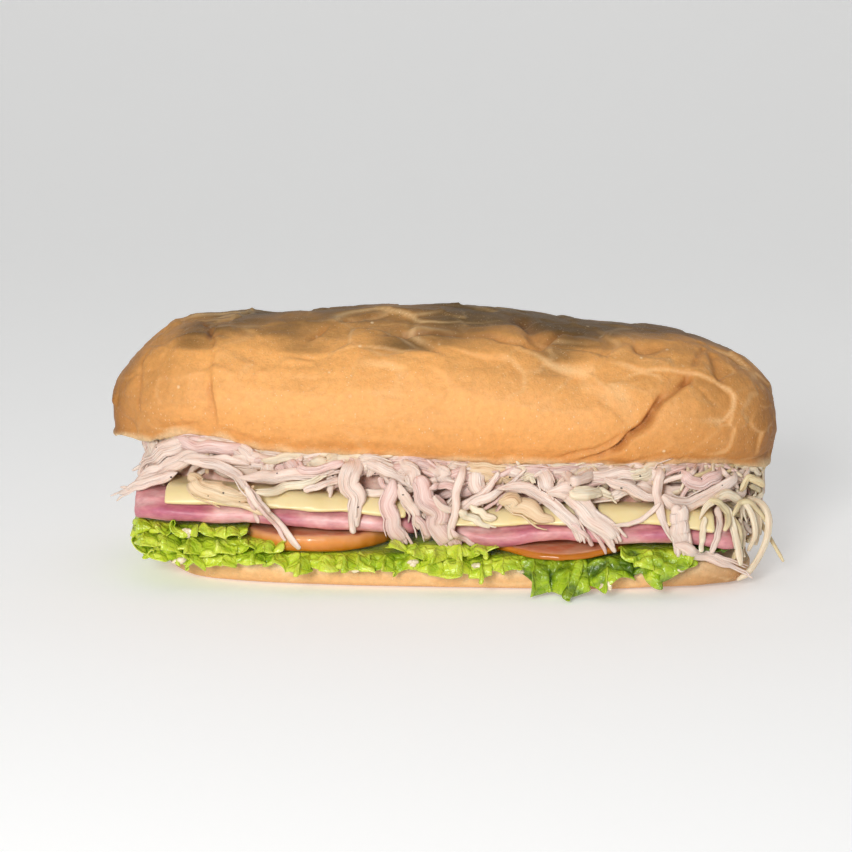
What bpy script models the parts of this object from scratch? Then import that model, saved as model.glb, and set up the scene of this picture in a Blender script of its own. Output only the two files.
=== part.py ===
# A long filled roll: two bread halves with shredded chicken, cheese, ham, tomato and lettuce between.
# Metres, +Z up. X runs along the roll and -Y is its front. The roll stands on Z = 0.
import math
import random

import bmesh
import bpy
from mathutils import Vector, noise
from mathutils.bvhtree import BVHTree

# Driving dimensions
ROLL_LENGTH = 0.2628
ROLL_MIDDLE = -0.0034
ROLL_WIDTH = 0.0900
BASE_LENGTH = 0.2310
BASE_WIDTH = 0.0870
BASE_MIDDLE = 0.0015
BASE_FLAT_SHARE = 0.90
REST_HALF_WIDTH = 0.0310
CRUST_BULGE_HEIGHT = 0.0065
WIDEST_ABOVE_LIP = 0.0150
LOWER_OVAL = 0.0290
GAP = 0.0004

TOMATO_WIDTH = 0.0640
TOMATO_THICKNESS = 0.0070
LEAF_THICKNESS = 0.0008
LEAF_SHELF = 0.0421
HAM_EDGE = 0.0062
HAM_HALF_WIDTH = 0.0450
CHEESE_THICKNESS = 0.0027
CHEESE_SHELF = 0.0385
CHEESE_BEND_RADIUS = 0.0065
CHEESE_BEND = math.radians(60)
CHEESE_TAIL = 0.0020
CHEESE_ABOVE_HAM_EDGE = 0.0006
HEAP_LENGTH = 0.2310
HEAP_MIDDLE = -0.0020
HEAP_HALF_WIDTH = 0.0385
STRAND_SIDES = 5
STRAND_RINGS = 6
STRAND_FLATNESS = 0.62

# Heights along the roll, as (x, z)
LIP = [(-0.134, 0.0515), (-0.128, 0.0530), (-0.115, 0.0528), (-0.107, 0.0552), (-0.097, 0.0565),
       (-0.086, 0.0558), (-0.077, 0.0532), (-0.070, 0.0514), (-0.027, 0.0510), (0.004, 0.0491),
       (0.020, 0.0483), (0.058, 0.0484), (0.096, 0.0478), (0.111, 0.0461), (0.128, 0.0422)]
CROWN = [(-0.135, 0.0870), (-0.128, 0.0930), (-0.120, 0.1000), (-0.108, 0.1020), (-0.087, 0.1030),
         (-0.045, 0.1022), (-0.018, 0.1036), (0.004, 0.1034), (0.036, 0.1012), (0.052, 0.0988),
         (0.069, 0.0996), (0.097, 0.0990), (0.111, 0.0966), (0.121, 0.0945), (0.128, 0.0920)]
BASE_TOP = [(-0.113, 0.0105), (-0.098, 0.0125), (0.085, 0.0125), (0.104, 0.0115), (0.117, 0.0088)]
BASE_LIFT = [(-0.114, 0.0045), (-0.104, 0.0012), (-0.094, 0.0), (0.052, 0.0), (0.085, 0.0014),
             (0.108, 0.0016), (0.117, 0.0030)]
HAM_BOTTOM = [(-0.117, 0.0250), (-0.093, 0.0255), (-0.074, 0.0245), (-0.052, 0.0233), (-0.017, 0.0213),
              (0.005, 0.0178), (0.043, 0.0192), (0.073, 0.0195), (0.095, 0.0180), (0.110, 0.0160)]

# Folds and dents of the upper crust, as (x, z, reach along x, reach up, depth); below zero it swells
DENTS = [(-0.091, 0.078, 0.0035, 0.030, 0.0018), (-0.104, 0.080, 0.0110, 0.030, -0.0022),
         (0.053, 0.052, 0.0080, 0.004, 0.0010), (0.066, 0.058, 0.0070, 0.005, 0.0022),
         (0.077, 0.067, 0.0055, 0.007, 0.0026), (0.086, 0.078, 0.0060, 0.007, 0.0022),
         (0.097, 0.064, 0.0120, 0.012, -0.0016), (0.036, 0.093, 0.0060, 0.008, 0.0028),
         (0.074, 0.092, 0.0080, 0.006, 0.0020), (0.100, 0.083, 0.0070, 0.006, 0.0020),
         (-0.050, 0.094, 0.0090, 0.004, 0.0016), (-0.010, 0.098, 0.0140, 0.004, 0.0012)]

# Slices, as (name, left end, right end)
HAM_SLICES = [("ham_left", -0.1205, -0.0110), ("ham_right", 0.0020, 0.1095)]
CHEESE_SLICES = [("cheese_left", -0.1075, -0.0150), ("cheese_middle", 0.0020, 0.0565),
                 ("cheese_right", 0.0575, 0.1010)]
TOMATOES = [("tomato_left", -0.0515, -0.0160, 0.0), ("tomato_right", 0.0428, -0.0175, 0.0012)]
# Leaves, as (name, left end, right end, lies on the base)
LEAVES = [("leaf_low_left", -0.1240, -0.0310, True), ("leaf_low_middle", -0.0304, 0.0290, True),
          ("leaf_low_right", 0.0296, 0.0930, True), ("leaf_high_left", -0.1250, -0.0850, False),
          ("leaf_high_middle", -0.0185, 0.0100, False), ("leaf_high_right", 0.0775, 0.0940, False)]
# Longer lobes of the front edge, as (x, extra length, half width)
LOBES = [(-0.072, 0.002, 0.006), (0.002, 0.002, 0.006), (0.026, 0.005, 0.010), (0.046, 0.012, 0.006),
         (0.058, 0.005, 0.007), (0.072, 0.003, 0.008), (0.083, 0.006, 0.005)]

# Strands that hang at the front, as three (x, z) points in millimetres and a width
FRONT_STRANDS = [
    ((-93, 54), (-81, 53), (-69, 49), 7.5), ((-94, 55), (-108, 51), (-120, 41), 5.7),
    ((-97, 49), (-108, 44), (-118, 37), 4.5), ((-107, 41), (-116, 37), (-123, 32), 3.4),
    ((-101, 48), (-88, 49), (-75, 48), 3.8), ((-99, 44), (-87, 39), (-74, 36), 7.0),
    ((-70, 48), (-58, 49), (-46, 49), 3.4), ((-95, 48), (-69, 34), (-57, 18), 3.8),
    ((-76, 45), (-59, 44), (-41, 47), 4.9), ((-46, 45), (-58, 41), (-71, 40), 3.4),
    ((-36, 48), (-35, 39), (-33, 25), 7.5), ((-30, 48), (-24, 46), (-16, 42), 4.9),
    ((-22, 47), (-16, 45), (-8, 40), 7.4), ((-20, 43), (-21, 31), (-17, 18), 6.4),
    ((-18, 42), (-13, 33), (-10, 24), 4.5), ((-11, 45), (-5, 32), (0, 18), 8.0),
    ((-8, 46), (-3, 45), (3, 40), 6.4), ((-4, 38), (6, 33), (20, 45), 3.6),
    ((6, 46), (4, 36), (2, 21), 3.6), ((27, 44), (13, 37), (7, 33), 3.8),
    ((20, 41), (37, 36), (50, 23), 4.5), ((21, 38), (30, 34), (39, 29), 6.4),
    ((33, 45), (37, 44), (41, 40), 6.0), ((40, 41), (50, 36), (63, 20), 6.4),
    ((46, 42), (53, 40), (62, 38), 5.0), ((59, 44), (69, 40), (80, 35), 4.5),
    ((61, 46), (69, 45), (77, 45), 3.4), ((81, 45), (79, 36), (83, 23), 3.8),
    ((80, 39), (92, 36), (110, 43), 5.3), ((84, 37), (85, 28), (87, 20), 8.6),
    ((83, 40), (87, 14), (113, 10), 3.8), ((108, 42), (127, 27), (115, 11), 3.8),
    ((94, 34), (105, 39), (110, 27), 3.8), ((104, 37), (106, 23), (108, 12), 3.4),
]
BACK_STRANDS = 11
SEED = 11

CRUST = (0.72, 0.39, 0.13, 1)
COLOURS = {
    "crust": (CRUST, 0.55), "chicken": ((0.78, 0.62, 0.52, 1), 0.40), "cheese": ((0.86, 0.70, 0.32, 1), 0.35),
    "ham": ((0.68, 0.28, 0.28, 1), 0.35), "tomato": ((0.62, 0.20, 0.05, 1), 0.20),
    "lettuce": ((0.28, 0.44, 0.04, 1), 0.35),
}


def clear_scene():
    for obj in list(bpy.data.objects):
        bpy.data.objects.remove(obj)


def material(name):
    found = bpy.data.materials.get(name)
    if found:
        return found
    colour, roughness = COLOURS[name]
    made = bpy.data.materials.new(name)
    made.use_nodes = True
    shader = made.node_tree.nodes["Principled BSDF"]
    shader.inputs["Base Color"].default_value = colour
    shader.inputs["Roughness"].default_value = roughness
    shader.inputs["Metallic"].default_value = 0.0
    return made


def along(stations, x):
    # A smooth curve through (x, value) stations, level beyond its ends.
    if x <= stations[0][0]:
        return stations[0][1]
    if x >= stations[-1][0]:
        return stations[-1][1]
    i = next(k for k in range(len(stations) - 1) if x <= stations[k + 1][0])

    def slope(k):
        before, after = stations[max(k - 1, 0)], stations[min(k + 1, len(stations) - 1)]
        return (after[1] - before[1]) / (after[0] - before[0])

    (x0, v0), (x1, v1) = stations[i], stations[i + 1]
    width = x1 - x0
    s = (x - x0) / width
    return ((1 + 2 * s) * (1 - s) ** 2 * v0 + s * (1 - s) ** 2 * width * slope(i)
            + s * s * (3 - 2 * s) * v1 + s * s * (s - 1) * width * slope(i + 1))


def rounding(x, half_length, power):
    # How much of the full width is left at x, from 1 in the middle to 0 at the end.
    return max(0.0, 1 - min(1.0, abs(x) / half_length) ** power) ** (1 / power)


def signed_power(value, power):
    return math.copysign(abs(value) ** power, value)


def add_object(name, points, faces, material_name, smooth_angle=40):
    mesh = bpy.data.meshes.new(name)
    mesh.from_pydata([tuple(p) for p in points], [], faces)
    mesh.materials.append(material(material_name))
    work = bmesh.new()
    work.from_mesh(mesh)
    bmesh.ops.recalc_face_normals(work, faces=work.faces)
    work.to_mesh(mesh)
    work.free()
    mesh.shade_smooth()
    mesh.set_sharp_from_angle(angle=math.radians(smooth_angle))
    obj = bpy.data.objects.new(name, mesh)
    bpy.context.scene.collection.objects.link(obj)
    return obj


def loft(name, rings, material_name):
    # A closed solid through rings of points, each end fanned to its middle.
    count = len(rings[0])
    points = [p for ring in rings for p in ring]
    faces = []
    for i in range(len(rings) - 1):
        for j in range(count):
            a, b = i * count + j, i * count + (j + 1) % count
            faces.append((a, b, b + count, a + count))
    for ring_start, ring in ((0, rings[0]), ((len(rings) - 1) * count, rings[-1])):
        middle = sum((Vector(p) for p in ring), Vector()) / count
        points.append(middle)
        hub = len(points) - 1
        for j in range(count):
            faces.append((ring_start + j, ring_start + (j + 1) % count, hub))
    return add_object(name, points, faces, material_name)


def sheet(name, upper, lower, material_name):
    # A thin solid between two grids of points, both faces split into triangles alike.
    rows, columns = len(upper), len(upper[0])
    points = [p for row in upper for p in row] + [p for row in lower for p in row]
    under = rows * columns
    faces = []
    for i in range(rows - 1):
        for j in range(columns - 1):
            a = i * columns + j
            b, c, d = a + 1, a + columns + 1, a + columns
            for tri in ((a, b, c), (a, c, d)):
                faces.append(tri)
                faces.append(tuple(k + under for k in reversed(tri)))
    border = [j for j in range(columns)]
    border += [i * columns + columns - 1 for i in range(1, rows)]
    border += [(rows - 1) * columns + j for j in range(columns - 2, -1, -1)]
    border += [i * columns for i in range(rows - 2, 0, -1)]
    for k, a in enumerate(border):
        b = border[(k + 1) % len(border)]
        faces.append((a, b, b + under, a + under))
    return add_object(name, points, faces, material_name)


def crust_relief(point):
    # How far the baked crust stands out at a point: soft lumps, and the folds and dents of the front.
    lumps = noise.noise(Vector((point.x * 28, point.y * 34, point.z * 34)))
    lumps += 0.5 * noise.noise(Vector((point.x * 70 + 5, point.y * 80, point.z * 80)))
    out = lumps * 0.0010
    if point.y < 0.01:
        for x, z, wide, high, depth in DENTS:
            out -= depth * math.exp(-((point.x - x) / wide) ** 2 - ((point.z - z) / high) ** 2)
    return out


def top_half():
    half_length, half_width = ROLL_LENGTH / 2, ROLL_WIDTH / 2
    stations, dome, under = 46, 18, 3
    rings = []
    for i in range(1, stations):
        x = -half_length * math.cos(math.pi * i / stations)
        lip = along(LIP, x + ROLL_MIDDLE)
        width = half_width * rounding(x, half_length, 2.7)
        middle = lip + WIDEST_ABOVE_LIP
        rise = (along(CROWN, x + ROLL_MIDDLE) - middle) * rounding(x, half_length, 3.0)
        tuck = math.asin((WIDEST_ABOVE_LIP / LOWER_OVAL) ** 1.1)
        ring = []
        for j in range(dome):
            angle = -tuck + (math.pi + 2 * tuck) * j / (dome - 1)
            y = -width * signed_power(math.cos(angle), 0.9)
            z = signed_power(math.sin(angle), 0.9)
            z = middle + z * (rise if z > 0 else WIDEST_ABOVE_LIP / math.sin(tuck) ** 0.9)
            point = Vector((x + ROLL_MIDDLE, y, z))
            if 0 < j < dome - 1:
                normal = Vector((0.3 * x / half_length, y / half_width, (z - middle) / 0.035)).normalized()
                point += normal * crust_relief(point) * min(1.0, width / 0.02)
            point.x += end_lean(x / half_length, z - lip)
            ring.append(point)
        back, front = ring[-1], ring[0]
        for j in range(1, under + 1):
            share = (1 - math.cos(math.pi * j / (under + 1))) / 2
            ring.append(back.lerp(front, share))
        rings.append(ring)
    return loft("bun_top", rings, "crust")


def end_lean(share_along, above_lip):
    # The blunt right end tucks in a little towards its lip.
    near_end = max(0.0, (share_along - 0.8) / 0.2)
    return -0.0034 * near_end * max(0.0, 1 - above_lip / 0.012)


def bottom_half():
    half_length, half_width = BASE_LENGTH / 2, BASE_WIDTH / 2
    stations, side = 30, 5
    rings = []
    for i in range(1, stations):
        x = -half_length * math.cos(math.pi * i / stations)
        width = half_width * rounding(x, half_length, 3.2 if x < 0 else 5.0)
        top = along(BASE_TOP, x + BASE_MIDDLE)
        lift = max(0.0, along(BASE_LIFT, x + BASE_MIDDLE))
        flat = width * BASE_FLAT_SHARE
        profile = []
        for j in range(side):
            angle = math.pi / 2 * j / (side - 1)
            profile.append((flat + (width - flat) * math.sin(angle),
                            lift + (CRUST_BULGE_HEIGHT - 0.4 * lift) * (1 - math.cos(angle)) * 0.9))
        if lift == 0:
            # it rests on a plain rectangle
            profile[0] = (REST_HALF_WIDTH, 0.0)
        profile.append((width * 0.995, (CRUST_BULGE_HEIGHT + top) / 2 + lift * 0.25))
        profile.append((width * 0.975, top))
        profile.append((width * 0.90, top + 0.0001))
        profile.append((width * 0.30, top + 0.0001))
        front = [Vector((x + BASE_MIDDLE, -y, z)) for y, z in profile]
        back = [Vector((x + BASE_MIDDLE, y, z)) for y, z in reversed(profile)]
        rings.append(front + back)
    return loft("bun_bottom", rings, "crust")


def slice_rounding(x, left, right):
    return rounding(x - (left + right) / 2, (right - left) / 2 + 0.002, 9.0)


def ham_section(x, left, right):
    # A folded slice: a round nose at each side, thicker in the middle where it is folded over.
    bottom = along(HAM_BOTTOM, x)
    wave = 0.0007 * noise.noise(Vector((x * 60, 3.1, 0)))
    half = (HAM_HALF_WIDTH + wave) * slice_rounding(x, left, right)
    radius = HAM_EDGE / 2
    shoulder = ham_shoulder(x)
    side = []
    for j in range(6):
        angle = math.pi * j / 5
        side.append((half - radius + radius * math.sin(angle), bottom + radius - radius * math.cos(angle)))
    side.append((half - radius - 0.0015, shoulder - 0.0022))
    side.append((half - radius - 0.0060, shoulder))
    side.append((half * 0.4, shoulder))
    front = [Vector((x, -y, z)) for y, z in side]
    back = [Vector((x, y, z)) for y, z in reversed(side)]
    return front + back


def cheese_drop():
    return CHEESE_BEND_RADIUS * (1 - math.cos(CHEESE_BEND)) + CHEESE_TAIL * math.sin(CHEESE_BEND)


def cheese_middle_height(x):
    low_corner = along(HAM_BOTTOM, x) + HAM_EDGE + CHEESE_ABOVE_HAM_EDGE
    return low_corner + CHEESE_THICKNESS / 2 * math.cos(CHEESE_BEND) + cheese_drop()


def ham_shoulder(x):
    return cheese_middle_height(x) - CHEESE_THICKNESS / 2 - GAP


def ham(name, left, right):
    count = 16
    rings = [ham_section(left + (right - left) * (1 - math.cos(math.pi * i / count)) / 2, left, right)
             for i in range(count + 1)]
    return loft(name, rings, "ham")


def cheese_path(x):
    # The slice's middle line from its back edge over the top to its front edge, with the direction's angle.
    height = cheese_middle_height(x)
    half = []
    for share in (0.0, 0.5):
        half.append((CHEESE_SHELF * share, height, 0.0))
    for j in range(5):
        turn = CHEESE_BEND * j / 4
        half.append((CHEESE_SHELF + CHEESE_BEND_RADIUS * math.sin(turn),
                     height - CHEESE_BEND_RADIUS * (1 - math.cos(turn)), turn))
    y, z, turn = half[-1]
    tail = CHEESE_TAIL + 0.0006 * noise.noise(Vector((x * 45, 8.3, 0)))
    half.append((y + tail * math.cos(turn), z - tail * math.sin(turn), turn))
    back = [(y, z, turn) for y, z, turn in reversed(half[1:])]
    front = [(-y, z, -turn) for y, z, turn in half]
    return back + front


def cheese(name, left, right):
    count = max(6, round((right - left) / 0.0085))
    upper, lower = [], []
    for i in range(count + 1):
        x = left + (right - left) * i / count
        rows = [], []
        for y, z, turn in cheese_path(x):
            out = Vector((0, math.sin(turn), math.cos(turn))) * CHEESE_THICKNESS / 2
            rows[0].append(Vector((x, y, z)) + out)
            rows[1].append(Vector((x, y, z)) - out)
        upper.append(rows[0])
        lower.append(rows[1])
    return sheet(name, upper, lower, "cheese")


def tomato(name, x, y, sag):
    # A round slice with its skin as the rim; the part that sticks out sags a little.
    bpy.ops.mesh.primitive_cylinder_add(vertices=30, radius=TOMATO_WIDTH / 2, depth=TOMATO_THICKNESS,
                                        end_fill_type="TRIFAN")
    obj = bpy.context.object
    obj.name = name
    obj.data.name = name
    obj.data.materials.append(material("tomato"))
    work = bmesh.new()
    work.from_mesh(obj.data)
    rim = [e for e in work.edges if len({round(v.co.z, 5) for v in e.verts}) == 1
           and all(math.hypot(v.co.x, v.co.y) > TOMATO_WIDTH * 0.4 for v in e.verts)]
    bmesh.ops.bevel(work, geom=rim, offset=0.0016, segments=2, affect="EDGES", profile=0.5)
    floor = along(BASE_TOP, x) + GAP * 2 + LEAF_THICKNESS + 0.0006
    roof = min(along(HAM_BOTTOM, x + dx) for dx in (-0.03, -0.015, 0, 0.015, 0.03)) - GAP
    stretch = (roof - floor) / TOMATO_THICKNESS
    for v in work.verts:
        v.co.z = floor + (v.co.z + TOMATO_THICKNESS / 2) * stretch
        v.co.z -= sag * max(0.0, -(v.co.y + y) - 0.0435) / 0.005
    work.to_mesh(obj.data)
    work.free()
    obj.location = (x, y, 0)
    obj.data.shade_smooth()
    obj.data.set_sharp_from_angle(angle=math.radians(50))
    return obj


def leaf_shelf_height(x, y, on_base):
    low = along(BASE_TOP, x) + GAP + LEAF_THICKNESS / 2
    if on_base:
        return low
    low += LEAF_THICKNESS + 0.0022
    high = along(HAM_BOTTOM, x) - GAP - LEAF_THICKNESS / 2 - 0.0004
    return (low + high) / 2 + (high - low) / 2 * math.sin(x * 520 + 3 * math.sin(y * 60))


def leaf_edge(x, side, on_base):
    # Length of the free edge beyond the bread, and its angle below the level.
    ruffle = math.sin(x * 420 + side * 1.3 + 0.8 * math.sin(x * 130))
    wander = noise.noise(Vector((x * 70, side * 4.0, 1.0 if on_base else 6.0)))
    if on_base:
        length = 0.0078 + 0.0022 * wander
        lobe = 0.0
        if side < 0:
            lobe = sum(extra * math.exp(-((x - at) / half) ** 2) for at, extra, half in LOBES)
        length += lobe
        angle = math.radians(66 + 16 * ruffle - 1600 * lobe)
        if side > 0:
            angle = math.radians(30 + 42 * ruffle)
    else:
        length = 0.0075 + 0.0020 * wander
        angle = math.radians(4 + 22 * ruffle)
    return length, angle


def leaf_path(x, on_base):
    # Points from the back edge to the front edge, with the slope at each.
    steps = 4
    halves = []
    for side in (1, -1):
        shelf = LEAF_SHELF * rounding(x - BASE_MIDDLE, BASE_LENGTH / 2 + 0.012, 4.0)
        length, final = leaf_edge(x, side, on_base)
        y, z = shelf, leaf_shelf_height(x, side * shelf, on_base)
        half = [(side * shelf * 0.35, leaf_shelf_height(x, side * shelf * 0.35, on_base), 0.0), (side * y, z, 0.0)]
        for j in range(1, steps + 1):
            angle = final * min(1.0, (j - 0.5) / (steps - 1.5))
            y += length / steps * math.cos(angle)
            z -= length / steps * math.sin(angle)
            half.append((side * y, max(z, 0.0012), side * angle))
        halves.append(half)
    return list(reversed(halves[0])) + halves[1]


def leaf(name, left, right, on_base):
    count = max(6, round((right - left) / 0.0039))
    upper, lower = [], []
    for i in range(count + 1):
        x = left + (right - left) * i / count
        rows = [], []
        for y, z, slope in leaf_path(x, on_base):
            out = Vector((0, math.sin(slope), math.cos(slope))) * LEAF_THICKNESS / 2
            rows[0].append(Vector((x, y, z)) + out)
            rows[1].append(Vector((x, y, z)) - out)
        upper.append(rows[0])
        lower.append(rows[1])
    return sheet(name, upper, lower, "lettuce")


def heap_edge(x):
    # How far the packed middle of the chicken reaches towards the front at x.
    return HEAP_HALF_WIDTH * rounding(x - HEAP_MIDDLE, HEAP_LENGTH / 2, 3.2)


def heap_core():
    # The packed middle of the chicken, between the cheese and the upper bread.
    stations, corners = 26, 12
    half_length = HEAP_LENGTH / 2
    rings = []
    for i in range(1, stations):
        x = -half_length * math.cos(math.pi * i / stations)
        width = heap_edge(x + HEAP_MIDDLE)
        near = [x + HEAP_MIDDLE + step for step in (-0.008, -0.004, 0, 0.004, 0.008)]
        low = max(cheese_middle_height(at) for at in near) + CHEESE_THICKNESS / 2 + GAP
        high = min(along(LIP, at) for at in near) - GAP
        ring = []
        for j in range(corners):
            angle = 2 * math.pi * j / corners
            y = width * signed_power(math.cos(angle), 0.45)
            rough = 1 + 0.07 * noise.noise(Vector((x * 120, j * 0.9, 2.0)))
            z = (low + high) / 2 + (high - low) / 2 * signed_power(math.sin(angle), 0.35)
            ring.append(Vector((x + HEAP_MIDDLE, y * rough, z)))
        rings.append(ring)
    return loft("chicken_core", rings, "chicken")


def smooth_route(points, count):
    # A curve through three points, as evenly spaced steps.
    start, middle, end = (Vector(p) for p in points)
    control = middle * 2 - (start + end) / 2
    steps = [i / (count - 1) for i in range(count)]
    return [start * (1 - s) ** 2 + control * 2 * s * (1 - s) + end * s * s for s in steps]


def surface_beyond(trees, x, z, side, reach):
    # How far out the food under a strand stands at (x, z), seen from that side.
    found = []
    for dx in (-reach, 0, reach):
        for dz in (-reach, 0, reach):
            for tree in trees:
                hit = tree.ray_cast(Vector((x + dx, side * 0.2, z + dz)), Vector((0, -side, 0)))[0]
                if hit is not None:
                    found.append(hit.y * side)
    return max(found) if found else None


def strand_tube(route, width, side):
    # A flattened tube with tapered ends.
    rings = []
    thick = width * STRAND_FLATNESS
    for i, point in enumerate(route):
        ahead = route[min(i + 1, len(route) - 1)] - route[max(i - 1, 0)]
        outward = Vector((0, side, 0))
        across = ahead.cross(outward).normalized()
        outward = across.cross(ahead).normalized()
        share = i / (len(route) - 1)
        taper = 0.55 + 0.45 * math.sin(math.pi * min(1, max(0, share * 0.92 + 0.06)))
        ring = []
        for j in range(STRAND_SIDES):
            angle = 2 * math.pi * j / STRAND_SIDES
            ring.append(point + across * math.cos(angle) * width / 2 * taper
                        + outward * math.sin(angle) * thick / 2 * taper)
        rings.append(ring)
    return rings


def laid_route(points, width, side, trees):
    # The strand starts inside the heap and then lies on whatever is under it, just clear of it.
    reach = width / 2
    route = smooth_route(points, STRAND_RINGS)
    out = []
    for p in route:
        p.z = min(p.z, along(LIP, p.x) - reach - 0.0010)
        edge = (HEAP_HALF_WIDTH + 0.0010) * rounding(p.x - HEAP_MIDDLE, 0.132, 3.0)
        seen = surface_beyond(trees, p.x, p.z, side, reach * 1.1) or 0
        out.append(max(edge, seen + width * STRAND_FLATNESS / 2 + GAP * 1.5))
    for i, p in enumerate(route):
        near = out[max(0, i - 1):i + 2]
        p.y = side * max(out[i], (max(near) + sum(near) / len(near)) / 2)
    root = heap_edge(route[0].x) - 0.0020
    route[0].y = side * root
    route[1].y = side * max(root, abs(route[1].y) - 0.0010)
    return route


def strand(name, points, width, side, trees):
    route = laid_route(points, width, side, trees)
    for _ in range(8):
        made = loft(name, strand_tube(route, width, side), "chicken")
        tree = tree_of(made)
        if not any(tree.overlap(other) for other in trees):
            return made
        bpy.data.objects.remove(made)
        for p in route[1:]:
            p.y += side * 0.0005
            p.z -= 0.0001
    return None


def tree_of(obj):
    points = [obj.matrix_world @ v.co for v in obj.data.vertices]
    return BVHTree.FromPolygons(points, [tuple(f.vertices) for f in obj.data.polygons])


def back_routes(draw):
    # Strands of the far side, hung at random along it.
    for i in range(BACK_STRANDS):
        x = -0.098 + 0.196 * (i + draw.uniform(0.2, 0.8)) / BACK_STRANDS
        lean = draw.uniform(-0.016, 0.016)
        fall = draw.uniform(0.006, 0.024)
        top = along(LIP, x) - 0.006
        bend = draw.uniform(-0.004, 0.004)
        yield ((x, 0, top), (x + lean / 2 + bend, 0, top - fall * 0.35), (x + lean, 0, top - fall)), \
            draw.uniform(0.0034, 0.0068)


def shredded_chicken(others):
    draw = random.Random(SEED)
    trees = [tree_of(obj) for obj in others]
    strands = []
    for i, (*points, width) in enumerate(FRONT_STRANDS):
        route = [(x / 1000, 0, z / 1000) for x, z in points]
        strands.append(strand(f"strand_{i}", route, width / 1000, -1, trees))
    for i, (route, width) in enumerate(back_routes(draw)):
        strands.append(strand(f"far_strand_{i}", route, width, 1, trees))
    pieces = bpy.data.collections.new("strands")
    bpy.context.scene.collection.children.link(pieces)
    for made in filter(None, strands):
        bpy.context.scene.collection.objects.unlink(made)
        pieces.objects.link(made)
    heap = heap_core()
    heap.name = "shredded_chicken"
    heap.data.name = "shredded_chicken"
    join = heap.modifiers.new("join", "BOOLEAN")
    join.operation = "UNION"
    join.operand_type = "COLLECTION"
    join.collection = pieces
    join.solver = "MANIFOLD"
    bpy.context.view_layer.objects.active = heap
    bpy.ops.object.modifier_apply(modifier=join.name)
    for made in list(pieces.objects):
        bpy.data.objects.remove(made)
    bpy.data.collections.remove(pieces)
    keep_largest(heap)
    return heap


def keep_largest(obj):
    # Drops any scrap that the union left apart from the heap.
    work = bmesh.new()
    work.from_mesh(obj.data)
    bmesh.ops.remove_doubles(work, verts=work.verts, dist=0.00001)
    left = set(work.verts)
    bodies = []
    while left:
        todo, body = [left.pop()], set()
        while todo:
            v = todo.pop()
            body.add(v)
            for edge in v.link_edges:
                other = edge.other_vert(v)
                if other in left:
                    left.discard(other)
                    todo.append(other)
        bodies.append(body)
    bodies.sort(key=len)
    for body in bodies[:-1]:
        bmesh.ops.delete(work, geom=list(body), context="VERTS")
    bmesh.ops.triangulate(work, faces=work.faces)
    work.to_mesh(obj.data)
    work.free()


def stand_on_origin(objects):
    # One parent carries the whole roll, so that the middle of its box is over the origin.
    bpy.context.view_layer.update()
    corners = [obj.matrix_world @ v.co for obj in objects for v in obj.data.vertices]
    middle = [(min(c[k] for c in corners) + max(c[k] for c in corners)) / 2 for k in (0, 1)]
    parent = bpy.data.objects.new("sandwich", None)
    bpy.context.scene.collection.objects.link(parent)
    for obj in objects:
        obj.parent = parent
    parent.location = (-middle[0], -middle[1], 0)


def main():
    clear_scene()
    objects = [bottom_half()]
    objects += [leaf(*values) for values in LEAVES]
    objects += [tomato(*values) for values in TOMATOES]
    objects += [ham(*values) for values in HAM_SLICES]
    objects += [cheese(*values) for values in CHEESE_SLICES]
    objects.append(top_half())
    bpy.context.view_layer.update()
    objects.append(shredded_chicken(objects))
    stand_on_origin(objects)


main()
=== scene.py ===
import math
import random

import bmesh
import bpy
import numpy as np
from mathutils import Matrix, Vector, noise
from mathutils.bvhtree import BVHTree


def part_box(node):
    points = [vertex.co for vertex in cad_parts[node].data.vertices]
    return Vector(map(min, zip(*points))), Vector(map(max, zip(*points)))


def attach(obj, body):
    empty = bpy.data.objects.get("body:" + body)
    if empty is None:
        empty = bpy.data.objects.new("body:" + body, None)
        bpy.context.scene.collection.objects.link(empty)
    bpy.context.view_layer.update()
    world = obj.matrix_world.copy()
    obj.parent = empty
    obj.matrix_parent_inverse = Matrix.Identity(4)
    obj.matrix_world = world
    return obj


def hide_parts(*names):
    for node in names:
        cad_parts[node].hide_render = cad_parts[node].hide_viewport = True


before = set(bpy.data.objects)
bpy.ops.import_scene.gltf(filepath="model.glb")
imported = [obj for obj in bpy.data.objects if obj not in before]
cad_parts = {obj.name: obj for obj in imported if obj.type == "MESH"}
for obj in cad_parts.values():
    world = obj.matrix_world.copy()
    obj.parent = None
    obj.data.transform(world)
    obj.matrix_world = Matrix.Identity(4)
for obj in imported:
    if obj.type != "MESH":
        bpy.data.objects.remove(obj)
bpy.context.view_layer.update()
noise.seed_set(4)  # else noise_vector starts from the clock and no two runs are alike

# Places below are in metres from the middle of the roll's front; shift takes them to the frame.
baseMiddleX = 0.0015
baseLow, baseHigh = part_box("bun_bottom")
shift = Vector(((baseLow.x + baseHigh.x) / 2 - baseMiddleX, (baseLow.y + baseHigh.y) / 2, 0))


# Shared tools

def deselectAll():
    for obj in bpy.context.selected_objects:
        obj.select_set(False)


def makeActive(obj):
    deselectAll()
    obj.select_set(True)
    bpy.context.view_layer.objects.active = obj


def meshObject(name, points, faces):
    mesh = bpy.data.meshes.new(name)
    mesh.from_pydata([tuple(p) for p in points], [], faces)
    mesh.update()
    obj = bpy.data.objects.new(name, mesh)
    bpy.context.scene.collection.objects.link(obj)
    return obj


def copyOfNode(node, name):
    # a merged copy of a CAD node, to be worked on
    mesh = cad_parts[node].data.copy()
    mesh.name = name
    obj = bpy.data.objects.new(name, mesh)
    bpy.context.scene.collection.objects.link(obj)
    mesh.materials.clear()
    work = bmesh.new()
    work.from_mesh(mesh)
    bmesh.ops.remove_doubles(work, verts=work.verts, dist=0.00002)
    bmesh.ops.recalc_face_normals(work, faces=work.faces)
    work.to_mesh(mesh)
    work.free()
    return obj


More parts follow.
